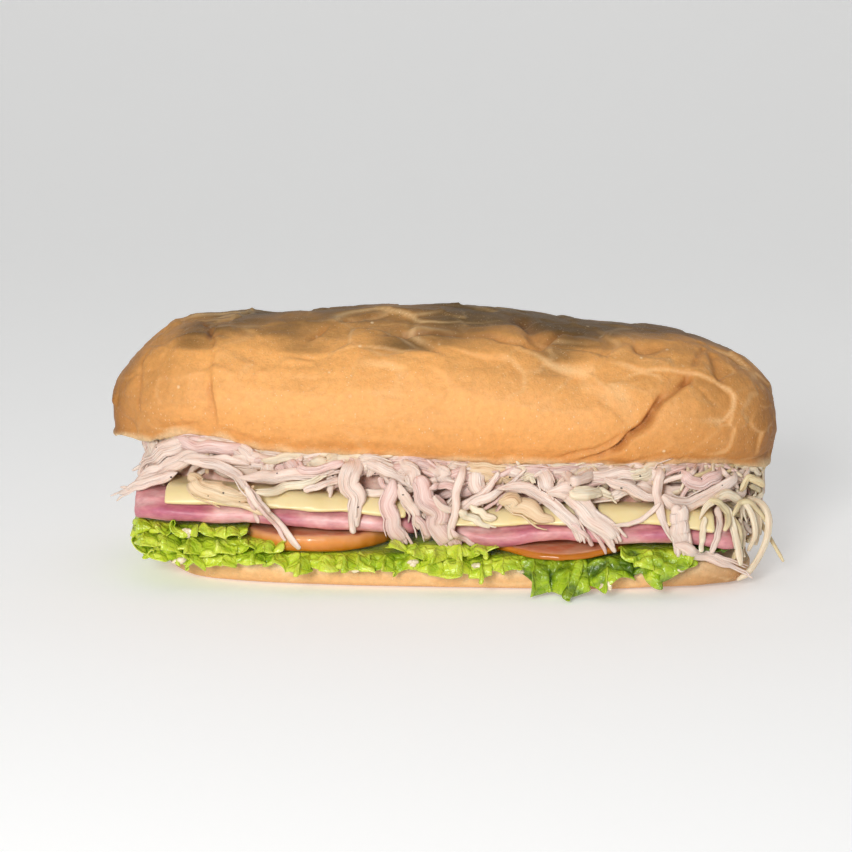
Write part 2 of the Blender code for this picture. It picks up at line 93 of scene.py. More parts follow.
def applyModifier(obj, kind, **values):
    makeActive(obj)
    modifier = obj.modifiers.new(kind.lower(), kind)
    for key, value in values.items():
        setattr(modifier, key, value)
    bpy.ops.object.modifier_apply(modifier=modifier.name)


def softened(obj, voxel, rounds, factor=0.5):
    # an even skin over the plain solid
    applyModifier(obj, "REMESH", mode="VOXEL", voxel_size=voxel)
    if rounds:
        applyModifier(obj, "SMOOTH", iterations=rounds, factor=factor)


def readPoints(obj):
    flat = np.empty(len(obj.data.vertices) * 3)
    obj.data.vertices.foreach_get("co", flat)
    return flat.reshape(-1, 3)


def readNormals(obj):
    flat = np.empty(len(obj.data.vertices) * 3)
    obj.data.vertices.foreach_get("normal", flat)
    return flat.reshape(-1, 3)


def writePoints(obj, points):
    obj.data.vertices.foreach_set("co", np.ascontiguousarray(points, dtype=np.float32).ravel())
    obj.data.update()


def writeAttribute(obj, name, values):
    layer = obj.data.attributes.new(name, "FLOAT", "POINT")
    layer.data.foreach_set("value", np.ascontiguousarray(values, dtype=np.float32))


def smoothShade(obj, angle=180):
    makeActive(obj)
    if angle >= 180:
        bpy.ops.object.shade_smooth()
    else:
        bpy.ops.object.shade_smooth_by_angle(angle=math.radians(angle))


def noiseAt(points, scale, seed=0.0, stretch=(1, 1, 1)):
    sx, sy, sz = (scale * s for s in stretch)
    return np.array([noise.noise(Vector((x * sx + seed, y * sy - seed, z * sz + 2 * seed)))
                     for x, y, z in points])


def smoothStep(low, high, values):
    t = np.clip((values - low) / (high - low), 0, 1)
    return t * t * (3 - 2 * t)


def along(stations, x):
    # a smooth curve through (x, value) stations, level beyond its ends
    if x <= stations[0][0]:
        return stations[0][1]
    if x >= stations[-1][0]:
        return stations[-1][1]
    i = next(k for k in range(len(stations) - 1) if x <= stations[k + 1][0])

    def slope(k):
        before, after = stations[max(k - 1, 0)], stations[min(k + 1, len(stations) - 1)]
        return (after[1] - before[1]) / (after[0] - before[0])

    (x0, v0), (x1, v1) = stations[i], stations[i + 1]
    width = x1 - x0
    s = (x - x0) / width
    return ((1 + 2 * s) * (1 - s) ** 2 * v0 + s * (1 - s) ** 2 * width * slope(i)
            + s * s * (3 - 2 * s) * v1 + s * s * (s - 1) * width * slope(i + 1))


def rounding(x, halfLength, power):
    return max(0.0, 1 - min(1.0, abs(x) / halfLength) ** power) ** (1 / power)


def treeOf(objects):
    points, faces = [], []
    for obj in objects:
        first = len(points)
        points += [v.co.copy() for v in obj.data.vertices]
        faces += [tuple(first + k for k in f.vertices) for f in obj.data.polygons]
    return BVHTree.FromPolygons(points, faces)


def finishPiece(obj, material, slotName, *nodes):
    obj.data.materials.clear()
    obj.data.materials.append(material)
    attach(obj, "root")
    if nodes:
        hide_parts(*nodes)


# Material tools

def newMaterial(name, roughness=0.5, **shaderValues):
    material = bpy.data.materials.new(name)
    material.use_nodes = True
    shader = material.node_tree.nodes["Principled BSDF"]
    shader.inputs["Roughness"].default_value = roughness
    for key, value in shaderValues.items():
        shader.inputs[key.replace("_", " ")].default_value = value
    return material, shader


def linear(red, green, blue):
    # the colours below are typed as they are read off the photograph, 0 to 255
    def one(value):
        value /= 255
        return value / 12.92 if value <= 0.04045 else ((value + 0.055) / 1.055) ** 2.4
    return one(red), one(green), one(blue), 1.0


def addNode(material, kind, inputs=None, **values):
    node = material.node_tree.nodes.new(kind)
    for key, value in values.items():
        setattr(node, key, value)
    for key, value in (inputs or {}).items():
        if isinstance(value, bpy.types.NodeSocket):
            material.node_tree.links.new(value, node.inputs[key])
        else:
            node.inputs[key].default_value = value
    return node


def placeOf(material, stretch=(1, 1, 1)):
    where = addNode(material, "ShaderNodeTexCoord").outputs["Object"]
    return addNode(material, "ShaderNodeMapping", {"Vector": where, "Scale": stretch}).outputs["Vector"]


def attributeOf(material, name):
    return addNode(material, "ShaderNodeAttribute", attribute_name=name).outputs["Fac"]


def noiseOf(material, place, scale, detail=3.0, roughness=0.55):
    return addNode(material, "ShaderNodeTexNoise", {"Vector": place, "Scale": scale, "Detail": detail,
                                                    "Roughness": roughness}).outputs["Fac"]


def rampOf(material, factor, *stops):
    node = addNode(material, "ShaderNodeValToRGB", {"Fac": factor})
    ramp = node.color_ramp
    while len(ramp.elements) > 1:
        ramp.elements.remove(ramp.elements[-1])
    for i, (position, colour) in enumerate(stops):
        element = ramp.elements[0] if i == 0 else ramp.elements.new(position)
        element.position = position
        element.color = colour if len(colour) == 4 else (*colour, 1.0)
    return node.outputs["Color"]


def greyRamp(material, factor, *stops):
    return rampOf(material, factor, *[(p, (v, v, v, 1)) for p, v in stops])


def mixOf(material, factor, first, second, blend="MIX"):
    node = addNode(material, "ShaderNodeMix", data_type="RGBA", blend_type=blend)
    for socket, value in ((node.inputs[0], factor), (node.inputs[6], first), (node.inputs[7], second)):
        if isinstance(value, bpy.types.NodeSocket):
            material.node_tree.links.new(value, socket)
        else:
            socket.default_value = value
    return node.outputs[2]


def mathOf(material, operation, first, second=0.0):
    node = addNode(material, "ShaderNodeMath", operation=operation)
    for i, value in enumerate((first, second)):
        if isinstance(value, bpy.types.NodeSocket):
            material.node_tree.links.new(value, node.inputs[i])
        else:
            node.inputs[i].default_value = value
    return node.outputs[0]


def cellsOf(material, place, scale):
    # how far each spot is from the nearest of many scattered points
    cells = addNode(material, "ShaderNodeTexVoronoi", {"Vector": place, "Scale": scale})
    return cells.outputs["Distance"]


def setBump(material, shader, height, strength, distance):
    numbers = {"Height": height, "Strength": strength, "Distance": distance}
    bump = addNode(material, "ShaderNodeBump", numbers)
    material.node_tree.links.new(bump.outputs["Normal"], shader.inputs["Normal"])


def setColour(material, shader, socket, name="Base Color"):
    material.node_tree.links.new(socket, shader.inputs[name])


# Bread

# crust colours; the crown colour is a browner top crust and painted shade where the crust faces up, away
# from the front light
upperCrust = {
    "lowHeight": 0.048, "highHeight": 0.108, "low": (221, 149, 78), "middle": (233, 167, 98),
    # the ridge colour is a painted highlight on the crest lines
    "upper": (231, 166, 94), "crownBrownAndShade": (90, 69, 37), "ridgeHighlight": (248, 210, 156), "fold": (150, 88, 44),
    # the end colour is a browner bake and painted shade where the ends turn away from the front light
    "crumb": (244, 220, 176), "end": (140, 86, 22),
}
lowerCrust = {
    "lowHeight": -0.004, "highHeight": 0.034, "low": (224, 168, 110), "middle": (244, 196, 140),
    "upper": (246, 204, 150), "crownBrownAndShade": (220, 170, 110), "ridgeHighlight": (250, 220, 172), "fold": (160, 106, 58),
    "crumb": (248, 226, 186), "end": (150, 102, 54),
}


def crustMaterial(name, tones):
    material, shader = newMaterial(name, 0.6, Specular_IOR_Level=0.24, Subsurface_Weight=0.06,
                                   Subsurface_Scale=0.002)
    look = {k: linear(*v) if isinstance(v, tuple) else v for k, v in tones.items()}
    lowHeight, highHeight = tones["lowHeight"], tones["highHeight"]
    place = placeOf(material)
    height = addNode(material, "ShaderNodeSeparateXYZ", {"Vector": place})
    patches = noiseOf(material, place, 36.0, 4.0, 0.6)
    fine = noiseOf(material, place, 420.0, 4.0, 0.7)
    share = mathOf(material, "SUBTRACT", height.outputs["Z"], lowHeight)
    share = mathOf(material, "DIVIDE", share, highHeight - lowHeight)
    share = mathOf(material, "ADD", share, mathOf(material, "MULTIPLY", mathOf(
        material, "SUBTRACT", patches, 0.5), 0.3))
    colour = rampOf(material, share, (0.0, look["low"]), (0.35, look["middle"]), (0.75, look["upper"]),
                    (1.0, look["crownBrownAndShade"]))
    # painted shade at the crown: a browner top crust, and darker where the crust faces up, away from the
    # front light
    colour = mixOf(material, mathOf(material, "MULTIPLY", attributeOf(material, "crownBrownAndShade"), 0.92), colour,
                   look["crownBrownAndShade"])
    # painted shade at the ends: a browner bake, and darker where the crust turns away from the front light
    ends = mathOf(material, "MULTIPLY", attributeOf(material, "ends"), 0.84)
    colour = mixOf(material, ends, colour, look["end"])
    mottle = greyRamp(material, fine, (0.3, 0.88), (0.7, 1.08))
    colour = mixOf(material, 1.0, colour, mottle, "MULTIPLY")
    # painted shading: each facet a little lighter or darker, standing for the light its tilt would catch
    light = mathOf(material, "MULTIPLY", attributeOf(material, "facetShading"), 0.30)
    light = mathOf(material, "ADD", light, 1.0)
    colour = mixOf(material, 1.0, colour, light, "MULTIPLY")
    # painted highlight: a pale line along the crests where facets meet
    ridgeHighlight = mathOf(material, "MULTIPLY", attributeOf(material, "ridgeHighlight"), 0.46)
    colour = mixOf(material, ridgeHighlight, colour, look["ridgeHighlight"])
    # painted shade in the grooves of the upper crust; on the lower crust the same colour marks random brown
    # patches
    colour = mixOf(material, attributeOf(material, "fold"), colour, look["fold"])
    hairs = placeOf(material, (1.0, 2.4, 0.55))
    specks = greyRamp(material, cellsOf(material, hairs, 640.0), (0.06, 1.0), (0.2, 0.0))
    patches = greyRamp(material, noiseOf(material, place, 150.0), (0.42, 0.0), (0.62, 0.8))
    specks = mathOf(material, "MULTIPLY", specks, patches)
    blisters = greyRamp(material, cellsOf(material, place, 130.0), (0.05, 0.75), (0.11, 0.0))
    patches = greyRamp(material, noiseOf(material, place, 42.0), (0.5, 0.0), (0.62, 1.0))
    blisters = mathOf(material, "MULTIPLY", blisters, patches)
    colour = mixOf(material, mathOf(material, "MAXIMUM", specks, blisters), colour, linear(252, 224, 182))
    crumbColour = mixOf(material, 1.0, look["crumb"], greyRamp(
        material, noiseOf(material, place, 420.0, 4.0, 0.7), (0.35, 0.74), (0.6, 1.05)), "MULTIPLY")
    colour = mixOf(material, attributeOf(material, "crumb"), colour, crumbColour)
    setColour(material, shader, colour)
    rough = mathOf(material, "ADD", mathOf(material, "MULTIPLY", fine, 0.22), 0.40)
    material.node_tree.links.new(rough, shader.inputs["Roughness"])
    bumps = mathOf(material, "ADD", mathOf(material, "MULTIPLY", fine, 0.8),
                   mathOf(material, "MULTIPLY", noiseOf(material, place, 1300.0, 2.0), 0.35))
    bumps = mathOf(material, "ADD", bumps, mathOf(material, "MULTIPLY", specks, 0.4))
    setBump(material, shader, bumps, 0.6, 0.0009)
    return material


# lines on the upper crust: route in metres (x, y, z), how deep and wide its groove is, how high the crust
# swells on its left or upper side and on its right or lower side, how far the swelling spreads
# each line's last number is how dark its groove is painted as shade
crustLines = {
    "leftStep": dict(route=[(-.092, -.012, .098), (-.090, -.028, .091), (-.089, -.038, .079),
                            (-.0895, -.038, .061)],
                     depth=.0009, width=.0010, oneSide=.0020, otherSide=0, spread=.012, grooveShade=.35),
    "notch": dict(route=[(-.096, -.006, .098), (-.091, -.026, .093), (-.087, -.024, .095)],
                  depth=.0016, width=.0014, oneSide=.0004, otherSide=.0003, spread=.006, grooveShade=.5),
    "rightFold": dict(route=[(.052, -.039, .0500), (.060, -.041, .0535), (.0655, -.040, .056),
                             (.070, -.040, .060), (.074, -.039, .064), (.079, -.038, .070),
                             (.085, -.034, .076), (.091, -.032, .080), (.097, -.014, .090)],
                      depth=.0030, width=.0014, oneSide=.0008, otherSide=.0034, spread=.010, grooveShade=.8),
    "foldLip": dict(route=[(.040, -.040, .0510), (.052, -.041, .0545), (.062, -.041, .0570),
                           (.070, -.040, .063)],
                    depth=.0010, width=.0011, oneSide=.0002, otherSide=.0012, spread=.004, grooveShade=.2),
    "topFold": dict(route=[(-.055, -.029, .093), (-.046, -.018, .099), (-.040, -.016, .100),
                           (-.025, -.012, .102)],
                    depth=.0014, width=.0014, oneSide=.0003, otherSide=.0013, spread=.009, grooveShade=.3),
    "topWrinkle": dict(route=[(-.029, -.028, .096), (-.018, -.024, .098), (.001, -.025, .097),
                              (.023, -.028, .095), (.035, -.028, .092), (.043, -.018, .096),
                              (.051, -.015, .096)],
                       depth=.0020, width=.0019, oneSide=.0004, otherSide=.0013, spread=.009, grooveShade=.3),
    "topDent": dict(route=[(.024, -.003, .102), (.031, -.018, .096), (.036, -.028, .092)],
                    depth=.0030, width=.0042, oneSide=.0006, otherSide=.0010, spread=.012, grooveShade=.25),
    "middleRidge": dict(route=[(-.044, -.042, .080), (-.031, -.038, .088), (-.016, -.040, .085),
                               (-.008, -.045, .074), (-.006, -.045, .064)],
                        depth=-.0004, width=.0007, oneSide=.0006, otherSide=0, spread=.007, grooveShade=0),
    "leftRidge": dict(route=[(-.066, -.041, .079), (-.057, -.043, .073), (-.055, -.044, .066)],
                      depth=-.0003, width=.0006, oneSide=.0004, otherSide=0, spread=.006, grooveShade=0),
    "rightRidge": dict(route=[(.098, -.025, .083), (.101, -.034, .066), (.105, -.033, .059)],
                       depth=.0006, width=.0009, oneSide=.0006, otherSide=.0003, spread=.007, grooveShade=.15),
    "rightDent": dict(route=[(.070, -.021, .0925), (.075, -.021, .091), (.082, -.020, .0895)],
                      depth=.0022, width=.0030, oneSide=.0003, otherSide=.0006, spread=.008, grooveShade=.25),
    "endDent": dict(route=[(.099, -.014, .088), (.101, -.020, .084), (.104, -.026, .078)],
                    depth=.0020, width=.0026, oneSide=.0004, otherSide=.0006, spread=.008, grooveShade=.25),
    "endWrinkle": dict(route=[(-.1165, -.020, .088), (-.1185, -.026, .076), (-.1190, -.027, .062)],
                       depth=.0008, width=.0011, oneSide=.0006, otherSide=.0002, spread=.005, grooveShade=.3),
    "endWrinkleThree": dict(route=[(-.1235, -.010, .083), (-.1255, -.015, .071), (-.1258, -.016, .060)],
                            depth=.0008, width=.0010, oneSide=.0009, otherSide=.0003, spread=.004, grooveShade=.30),
    "endWrinkleFour": dict(route=[(-.0985, -.032, .083), (-.0970, -.036, .071), (-.0985, -.036, .060)],
                           depth=.0005, width=.0009, oneSide=.0010, otherSide=.0002, spread=.004, grooveShade=.15),
    "endWrinkleFive": dict(route=[(-.1125, -.024, .085), (-.1130, -.030, .072), (-.1115, -.031, .062)],
                           depth=.0006, width=.0009, oneSide=.0010, otherSide=.0002, spread=.004, grooveShade=.20),
    "backFold": dict(route=[(-.070, .036, .060), (-.060, .038, .068), (-.052, .034, .078),
                            (-.046, .028, .088)],
                     depth=.0018, width=.0014, oneSide=.0006, otherSide=.0020, spread=.010, grooveShade=.6),
    "backWrinkle": dict(route=[(.020, .026, .094), (.036, .030, .090), (.052, .034, .082),
                               (.060, .037, .070)],
                        depth=.0012, width=.0013, oneSide=.0012, otherSide=.0003, spread=.009, grooveShade=.3),
    "backStep": dict(route=[(.094, .014, .092), (.095, .026, .084), (.096, .032, .070),
                            (.0955, .033, .058)],
                     depth=.0008, width=.0010, oneSide=.0018, otherSide=0, spread=.011, grooveShade=.3),
    "endWrinkleTwo": dict(route=[(-.106, -.030, .088), (-.1075, -.034, .074), (-.1060, -.034, .060)],
                          depth=.0006, width=.0010, oneSide=.0005, otherSide=.0002, spread=.005, grooveShade=.2),
}
crumple = {
    # facets to the metre, height of the steps between them, how steeply they tip, width of a border
    "big": dict(scale=36.0, step=.0018, tip=.0066, blend=.060, stretch=(0.62, 1.1, 1.1), seed=3.0,
                warp=.50),
    "middle": dict(scale=88.0, step=.0011, tip=.0038, blend=.110, stretch=(0.7, 1.1, 1.1), seed=8.0,
                   warp=.55),
    "small": dict(scale=210.0, step=.00022, tip=.00080, blend=.30, stretch=(0.8, 1.1, 1.0), seed=14.0,
                  warp=.40),
    "lower": dict(scale=60.0, step=.0005, tip=.0012, blend=.16, stretch=(0.5, 1.0, 1.5), seed=21.0,
                  warp=.50),
    # width of a ridge, height of the soft lumps, how far in the skin sits, and where it is calm and how far
    "edgeWidth": 0.0010, "lumps": 0.0011, "inward": 0.0009, "calmBelow": 0.068, "calmShare": 0.30,
}


def lineRelief(points, line, seed):
    # how far the crust stands out along one line, and how deep in its groove each point lies
    route = np.array(line["route"]) + np.array(shift)
    reach = 0.05 + np.linalg.norm(route[0] - route[-1]) / 2
    near = np.linalg.norm(points - route.mean(axis=0), axis=1) < reach
    out, groove = np.zeros(len(points)), np.zeros(len(points))
    chosen = points[near]
    wobble = np.stack([noiseAt(chosen, 110, seed + k) for k in (0, 5, 9)], 1)
    where = chosen + wobble * 0.0024
    best = np.full(len(chosen), 1e9)
    side, share, past = np.zeros(len(chosen)), np.zeros(len(chosen)), np.zeros(len(chosen))
    total = len(route) - 1
    for k in range(total):
        start, run = route[k], route[k + 1] - route[k]
        raw = ((where - start) @ run) / (run @ run)
        t = np.clip(raw, 0, 1)
        gap = where - (start + t[:, None] * run)
        distance = np.linalg.norm(gap, axis=1)
        closer = distance < best
        turn = (run[0] * gap[:, 2] - run[2] * gap[:, 0]) / np.hypot(run[0], run[2])
        best = np.where(closer, distance, best)
        side = np.where(closer, turn, side)
        share = np.where(closer, (k + t) / total, share)
        past = np.where(closer, np.abs(raw - t) * np.linalg.norm(run), past)
    side = np.clip(side / (best + 0.0002), -1, 1)
    fade = 0.25 + 0.75 * smoothStep(0.0, 0.2, share) * smoothStep(0.0, 0.2, 1 - share)
    fade = fade * np.exp(-(past / 0.003) ** 2)
    dip = np.exp(-(best / line["width"]) ** 2) * fade
    swell = line["otherSide"] + (line["oneSide"] - line["otherSide"]) * (0.5 + 0.5 * side)
    around = smoothStep(0, line["width"] * 1.6, best) * np.exp(-(best / line["spread"]) ** 2) * fade
    out[near] = swell * around - line["depth"] * dip
    groove[near] = dip
    return out, groove


def facets(points, scale, step, tip, blend, stretch, seed, warp):
    # the skin as facets like crumpled paper: each tips its own way, with a step where two meet; each is also
    # given its own painted shading, and its borders a painted highlight
    sx, sy, sz = (scale * k for k in stretch)
    out, edge, tone = np.empty(len(points)), np.empty(len(points)), np.empty(len(points))
    half = Vector((0.5, 0.5, 0.5))
    for i, (x, y, z) in enumerate(points):
        spot = Vector((x * sx + seed, y * sy, z * sz - seed))
        spot += noise.noise_vector(spot * 0.9) * warp
        distances, centres = noise.voronoi(spot)
        heights, lights = [], []
        for centre in centres[:2]:
            chance = noise.cell_vector(centre * 57.3) * 0.5 + half * 0.5
            heights.append(step * (chance.x - 0.5) + tip * (chance - half).dot(spot - centre))
            # each facet's painted shading, standing for the light its tilt would catch
            lights.append(chance.y - 0.5)
        border = distances[1] - distances[0]
        t = min(1.0, border / blend)
        share = 0.5 + 0.5 * t * t * (3 - 2 * t)
        out[i] = heights[0] * share + heights[1] * (1 - share)
        rise = abs(heights[0] - heights[1]) / step
        # the border where two facets meet, painted light later as a highlight on the crest
        edge[i] = math.exp(-(border / (crumple["edgeWidth"] * scale)) ** 2) * min(1.0, rise * 1.4)
        tone[i] = lights[0] * share + lights[1] * (1 - share)
    return out, edge, tone


def crumpled(points):
    out, edges, tones = np.zeros(len(points)), np.zeros(len(points)), np.zeros(len(points))
    calm = crumple["calmShare"] + (1 - crumple["calmShare"]) * smoothStep(
        crumple["calmBelow"], crumple["calmBelow"] + 0.018, points[:, 2])
    ends = smoothStep(0.088, 0.104, np.abs(points[:, 0] - shift.x))
    calm = np.maximum(calm, ends)
    for size, weight in (("big", 1.0), ("middle", 0.6), ("small", 0.12)):
        if size == "small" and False:
            continue
        relief, edge, tone = facets(points, **crumple[size])
        out += relief * calm
        # the painted shading of the facets
        tones += tone * calm * weight
        # the facet borders, to be painted as highlights on the crests
        edges = np.maximum(edges, edge * weight * calm)
    out += noiseAt(points, 32, 7.0) * crumple["lumps"] - crumple["inward"] * calm
    return out, edges * (0.25 + 0.75 * smoothStep(-0.10, 0.25, noiseAt(points, 30, 41.0))), tones


def upperBread():
    obj = copyOfNode("bun_top", "upperBread")
    softened(obj, 0.0009, 7)
    # the plain solid's flat bands above the lip are rounded into one curve
    high = obj.vertex_groups.new(name="high")
    for i, weight in enumerate(smoothStep(0.060, 0.074, readPoints(obj)[:, 2])):
        high.add([i], float(weight), "REPLACE")
    applyModifier(obj, "SMOOTH", iterations=26, factor=0.5, vertex_group="high")
    obj.vertex_groups.clear()
    points, normals = readPoints(obj), readNormals(obj)
    lip = np.array([along(lipHeights, x) for x in points[:, 0] - shift.x])
    above = points[:, 2] - lip
    crust = smoothStep(0.0002, 0.004, above)
    out, lines, tones = crumpled(points)
    total = out * crust
    grooveShade = np.zeros(len(points))
    for seed, line in enumerate(crustLines.values()):
        relief, groove = lineRelief(points, line, 10.0 * seed)
        total += relief * crust
        # the groove is painted dark as shade, by each line's share
        grooveShade = np.maximum(grooveShade, groove * line["grooveShade"] * crust)
    points += normals * total[:, None]
    under = smoothStep(0.55, 0.9, -normals[:, 2]) * (1 - smoothStep(0.001, 0.004, above))
    points[:, 2] += under * noiseAt(points, 260, 3.0) * 0.0007
    rim = (1 - smoothStep(0.0, 0.0035, above + noiseAt(points, 130, 31.0) * 0.002)) * 0.55
    writePoints(obj, points)
    # ridge: painted highlights along the facet borders
    writeAttribute(obj, "ridgeHighlight", np.clip(lines, 0, 1) * crust)
    # facet: the painted shading of each facet
    writeAttribute(obj, "facetShading", tones * crust)
    # fold: painted shade in the grooves
    writeAttribute(obj, "fold", np.clip(grooveShade, 0, 1))
    writeAttribute(obj, "crumb", np.clip(np.maximum(under, rim), 0, 1))
    # the crown mask: where the crust faces up it is painted darker, a browner top and painted shade away
    # from the front light
    upward = normals[:, 2] + noiseAt(points, 34, 17.0) * 0.22 + tones * 0.18
    writeAttribute(obj, "crownBrownAndShade", smoothStep(0.74, 1.04, upward))
    # the ends mask: painted shade where the sides turn away from the front light, and a browner bake towards
    # both ends
    ends = smoothStep(0.22, 0.98, np.abs(normals[:, 0]))
    placeAlong = points[:, 0] - shift.x
    ends = np.maximum(ends, smoothStep(0.045, 0.130, placeAlong) * 0.52)
    writeAttribute(obj, "ends", np.maximum(ends, smoothStep(0.080, 0.130, -placeAlong) * 0.55))
    smoothShade(obj)
    finishPiece(obj, crustMaterial("upperCrust", upperCrust), "crust", "bun_top")
    return obj


lipHeights = [(-0.134, 0.0515), (-0.128, 0.0530), (-0.115, 0.0528), (-0.107, 0.0552), (-0.097, 0.0565),
              (-0.086, 0.0558), (-0.077, 0.0532), (-0.070, 0.0514), (-0.027, 0.0510), (0.004, 0.0491),
              (0.020, 0.0483), (0.058, 0.0484), (0.096, 0.0478), (0.111, 0.0461), (0.128, 0.0422)]


def lowerBread():
    obj = copyOfNode("bun_bottom", "lowerBread")
    softened(obj, 0.0010, 3)
    points, normals = readPoints(obj), readNormals(obj)
    top = smoothStep(0.6, 0.95, normals[:, 2])
    sides = smoothStep(0.0, 0.003, points[:, 2]) * (1 - top)
    relief, edges, tones = facets(points, **crumple["lower"])
    out = relief + noiseAt(points, 60, 2.0) * 0.0007 + noiseAt(points, 190, 5.0) * 0.00025
    points += normals * (out * sides)[:, None]
    points[:, 2] += top * (noiseAt(points, 240, 3.0) * 0.0004 - 0.0003)
    points[:, 2] = np.maximum(points[:, 2], 0.0)
    writePoints(obj, points)
    rim = smoothStep(0.0045, 0.0110, points[:, 2] + noiseAt(points, 110, 9.0) * 0.003) * 0.80
    rim *= 1 - 0.75 * smoothStep(0.070, 0.105, points[:, 0] - shift.x)
    # ridge: painted highlights along the facet borders
    writeAttribute(obj, "ridgeHighlight", edges * sides * 0.8)
    # facet: the painted shading of each facet
    writeAttribute(obj, "facetShading", tones * sides * 0.5)
    patches = smoothStep(0.25, 0.5, noiseAt(points, 45, 6.0))
    writeAttribute(obj, "fold", np.clip(patches * sides * 0.25, 0, 1))
    writeAttribute(obj, "crumb", np.clip(np.maximum(top, rim), 0, 1))
    writeAttribute(obj, "crownBrownAndShade", np.zeros(len(points)))
    # the ends mask: painted shade where the ends turn away from the front light, and a browner bake towards
    # the right end
    ends = smoothStep(0.15, 0.95, np.abs(normals[:, 0])) * 0.75
    writeAttribute(obj, "ends", np.maximum(ends, smoothStep(0.070, 0.112, points[:, 0] - shift.x) * 0.75))
    smoothShade(obj)
    finishPiece(obj, crustMaterial("lowerCrust", lowerCrust), "crust", "bun_bottom")
    return obj


# Cheese, ham and tomato

def cheeseMaterial():
    material, shader = newMaterial("cheeseSlice", 0.34, Specular_IOR_Level=0.5, Subsurface_Weight=0.25,
                                   Subsurface_Scale=0.004, Subsurface_Radius=(1.0, 0.7, 0.3))
    place = placeOf(material)
    tone = noiseOf(material, place, 60.0, 3.0)
    colour = rampOf(material, tone, (0.3, linear(232, 208, 148)), (0.7, linear(240, 222, 174)))
    setColour(material, shader, colour)
    setBump(material, shader, noiseOf(material, place, 500.0, 3.0), 0.12, 0.0004)
    return material


def hamMaterial():
    material, shader = newMaterial("cookedHam", 0.42, Specular_IOR_Level=0.45, Subsurface_Weight=0.15,
                                   Subsurface_Scale=0.003, Subsurface_Radius=(1.0, 0.4, 0.3))
    place = placeOf(material, (0.6, 1.0, 1.4))
    blotches = noiseOf(material, place, 85.0, 4.0, 0.6)
    colour = rampOf(material, blotches, (0.30, linear(182, 96, 118)), (0.42, linear(202, 124, 134)),
                    (0.54, linear(218, 154, 154)), (0.68, linear(234, 192, 188)))
    grain = greyRamp(material, noiseOf(material, place, 300.0, 4.0), (0.3, 0.84), (0.7, 1.08))
    colour = mixOf(material, 1.0, colour, grain, "MULTIPLY")
    setColour(material, shader, colour)
    setBump(material, shader, noiseOf(material, place, 320.0, 4.0), 0.4, 0.0006)
    return material


def tomatoMaterial():
    material, shader = newMaterial("tomatoSlice", 0.22, Specular_IOR_Level=0.55, Subsurface_Weight=0.25,
                                   Subsurface_Scale=0.003, Subsurface_Radius=(1.0, 0.35, 0.15))
    place = placeOf(material)
    height = addNode(material, "ShaderNodeSeparateXYZ", {"Vector": place}).outputs["Z"]
    rise = mathOf(material, "DIVIDE", mathOf(material, "SUBTRACT", height, 0.0150), 0.0075)
    rise = mathOf(material, "ADD", rise, mathOf(material, "MULTIPLY", mathOf(
        material, "SUBTRACT", noiseOf(material, place, 120.0, 3.0), 0.5), 0.5))
    skin = rampOf(material, rise, (0.1, linear(186, 108, 18)), (0.45, linear(222, 142, 62)),
                  (0.85, linear(230, 168, 118)))
    flesh = rampOf(material, noiseOf(material, place, 140.0, 4.0), (0.35, linear(232, 150, 108)),
                   (0.7, linear(244, 196, 156)))
    colour = mixOf(material, attributeOf(material, "flesh"), skin, flesh)
    setColour(material, shader, colour)
    setBump(material, shader, noiseOf(material, place, 300.0, 2.0), 0.1, 0.0003)
    return material


# how finely each kind of slice is meshed, how far its faces wave, how rough they are, and its nodes
slices = {
    "cheese": dict(voxel=0.0008, waves=0.0006, grain=0.00006, seed=2.0,
                   nodes={"cheese_left": "cheeseLeft", "cheese_middle": "cheeseMiddle",
                          "cheese_right": "cheeseRight"}),
    "ham": dict(voxel=0.0008, waves=0.0009, grain=0.00018, seed=12.0,
                nodes={"ham_left": "hamLeft", "ham_right": "hamRight"}),
    "tomato": dict(voxel=0.0006, waves=0.0002, grain=0.00003, seed=22.0,
                   nodes={"tomato_left": "tomatoLeft", "tomato_right": "tomatoRight"}),
}


def markFlesh(obj, node):
    # the cut faces of a round slice of tomato, inside its skin
    low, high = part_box(node)
    middle = (low + high) / 2
    points = readPoints(obj)
    radius = (high.x - low.x) / 2
    away = np.hypot(points[:, 0] - middle.x, points[:, 1] - middle.y)
    writeAttribute(obj, "flesh", 1 - smoothStep(radius - 0.0018, radius - 0.0008, away))


def slicePieces(kind, material):
    # slices from their solids: evened, waved a little along their edges, and given a fine surface
    look = slices[kind]
    made = []
    for place, (node, name) in enumerate(look["nodes"].items()):
        seed = look["seed"] + place
        obj = copyOfNode(node, name)
        softened(obj, look["voxel"], 2)
        points, normals = readPoints(obj), readNormals(obj)
        out = noiseAt(points, 70, seed) * look["waves"] + noiseAt(points, 330, seed + 3) * look["grain"]
        points += normals * out[:, None]
        outer = smoothStep(0.036, 0.044, np.abs(points[:, 1] - shift.y))
        points[:, 2] += outer * noiseAt(points, 55, seed + 6, (1, 0.2, 0.2)) * look["waves"] * 1.5
        writePoints(obj, points)
        smoothShade(obj)
        if kind == "tomato":
            markFlesh(obj, node)
        finishPiece(obj, material, kind, node)
        made.append(obj)
    return made


# Lettuce

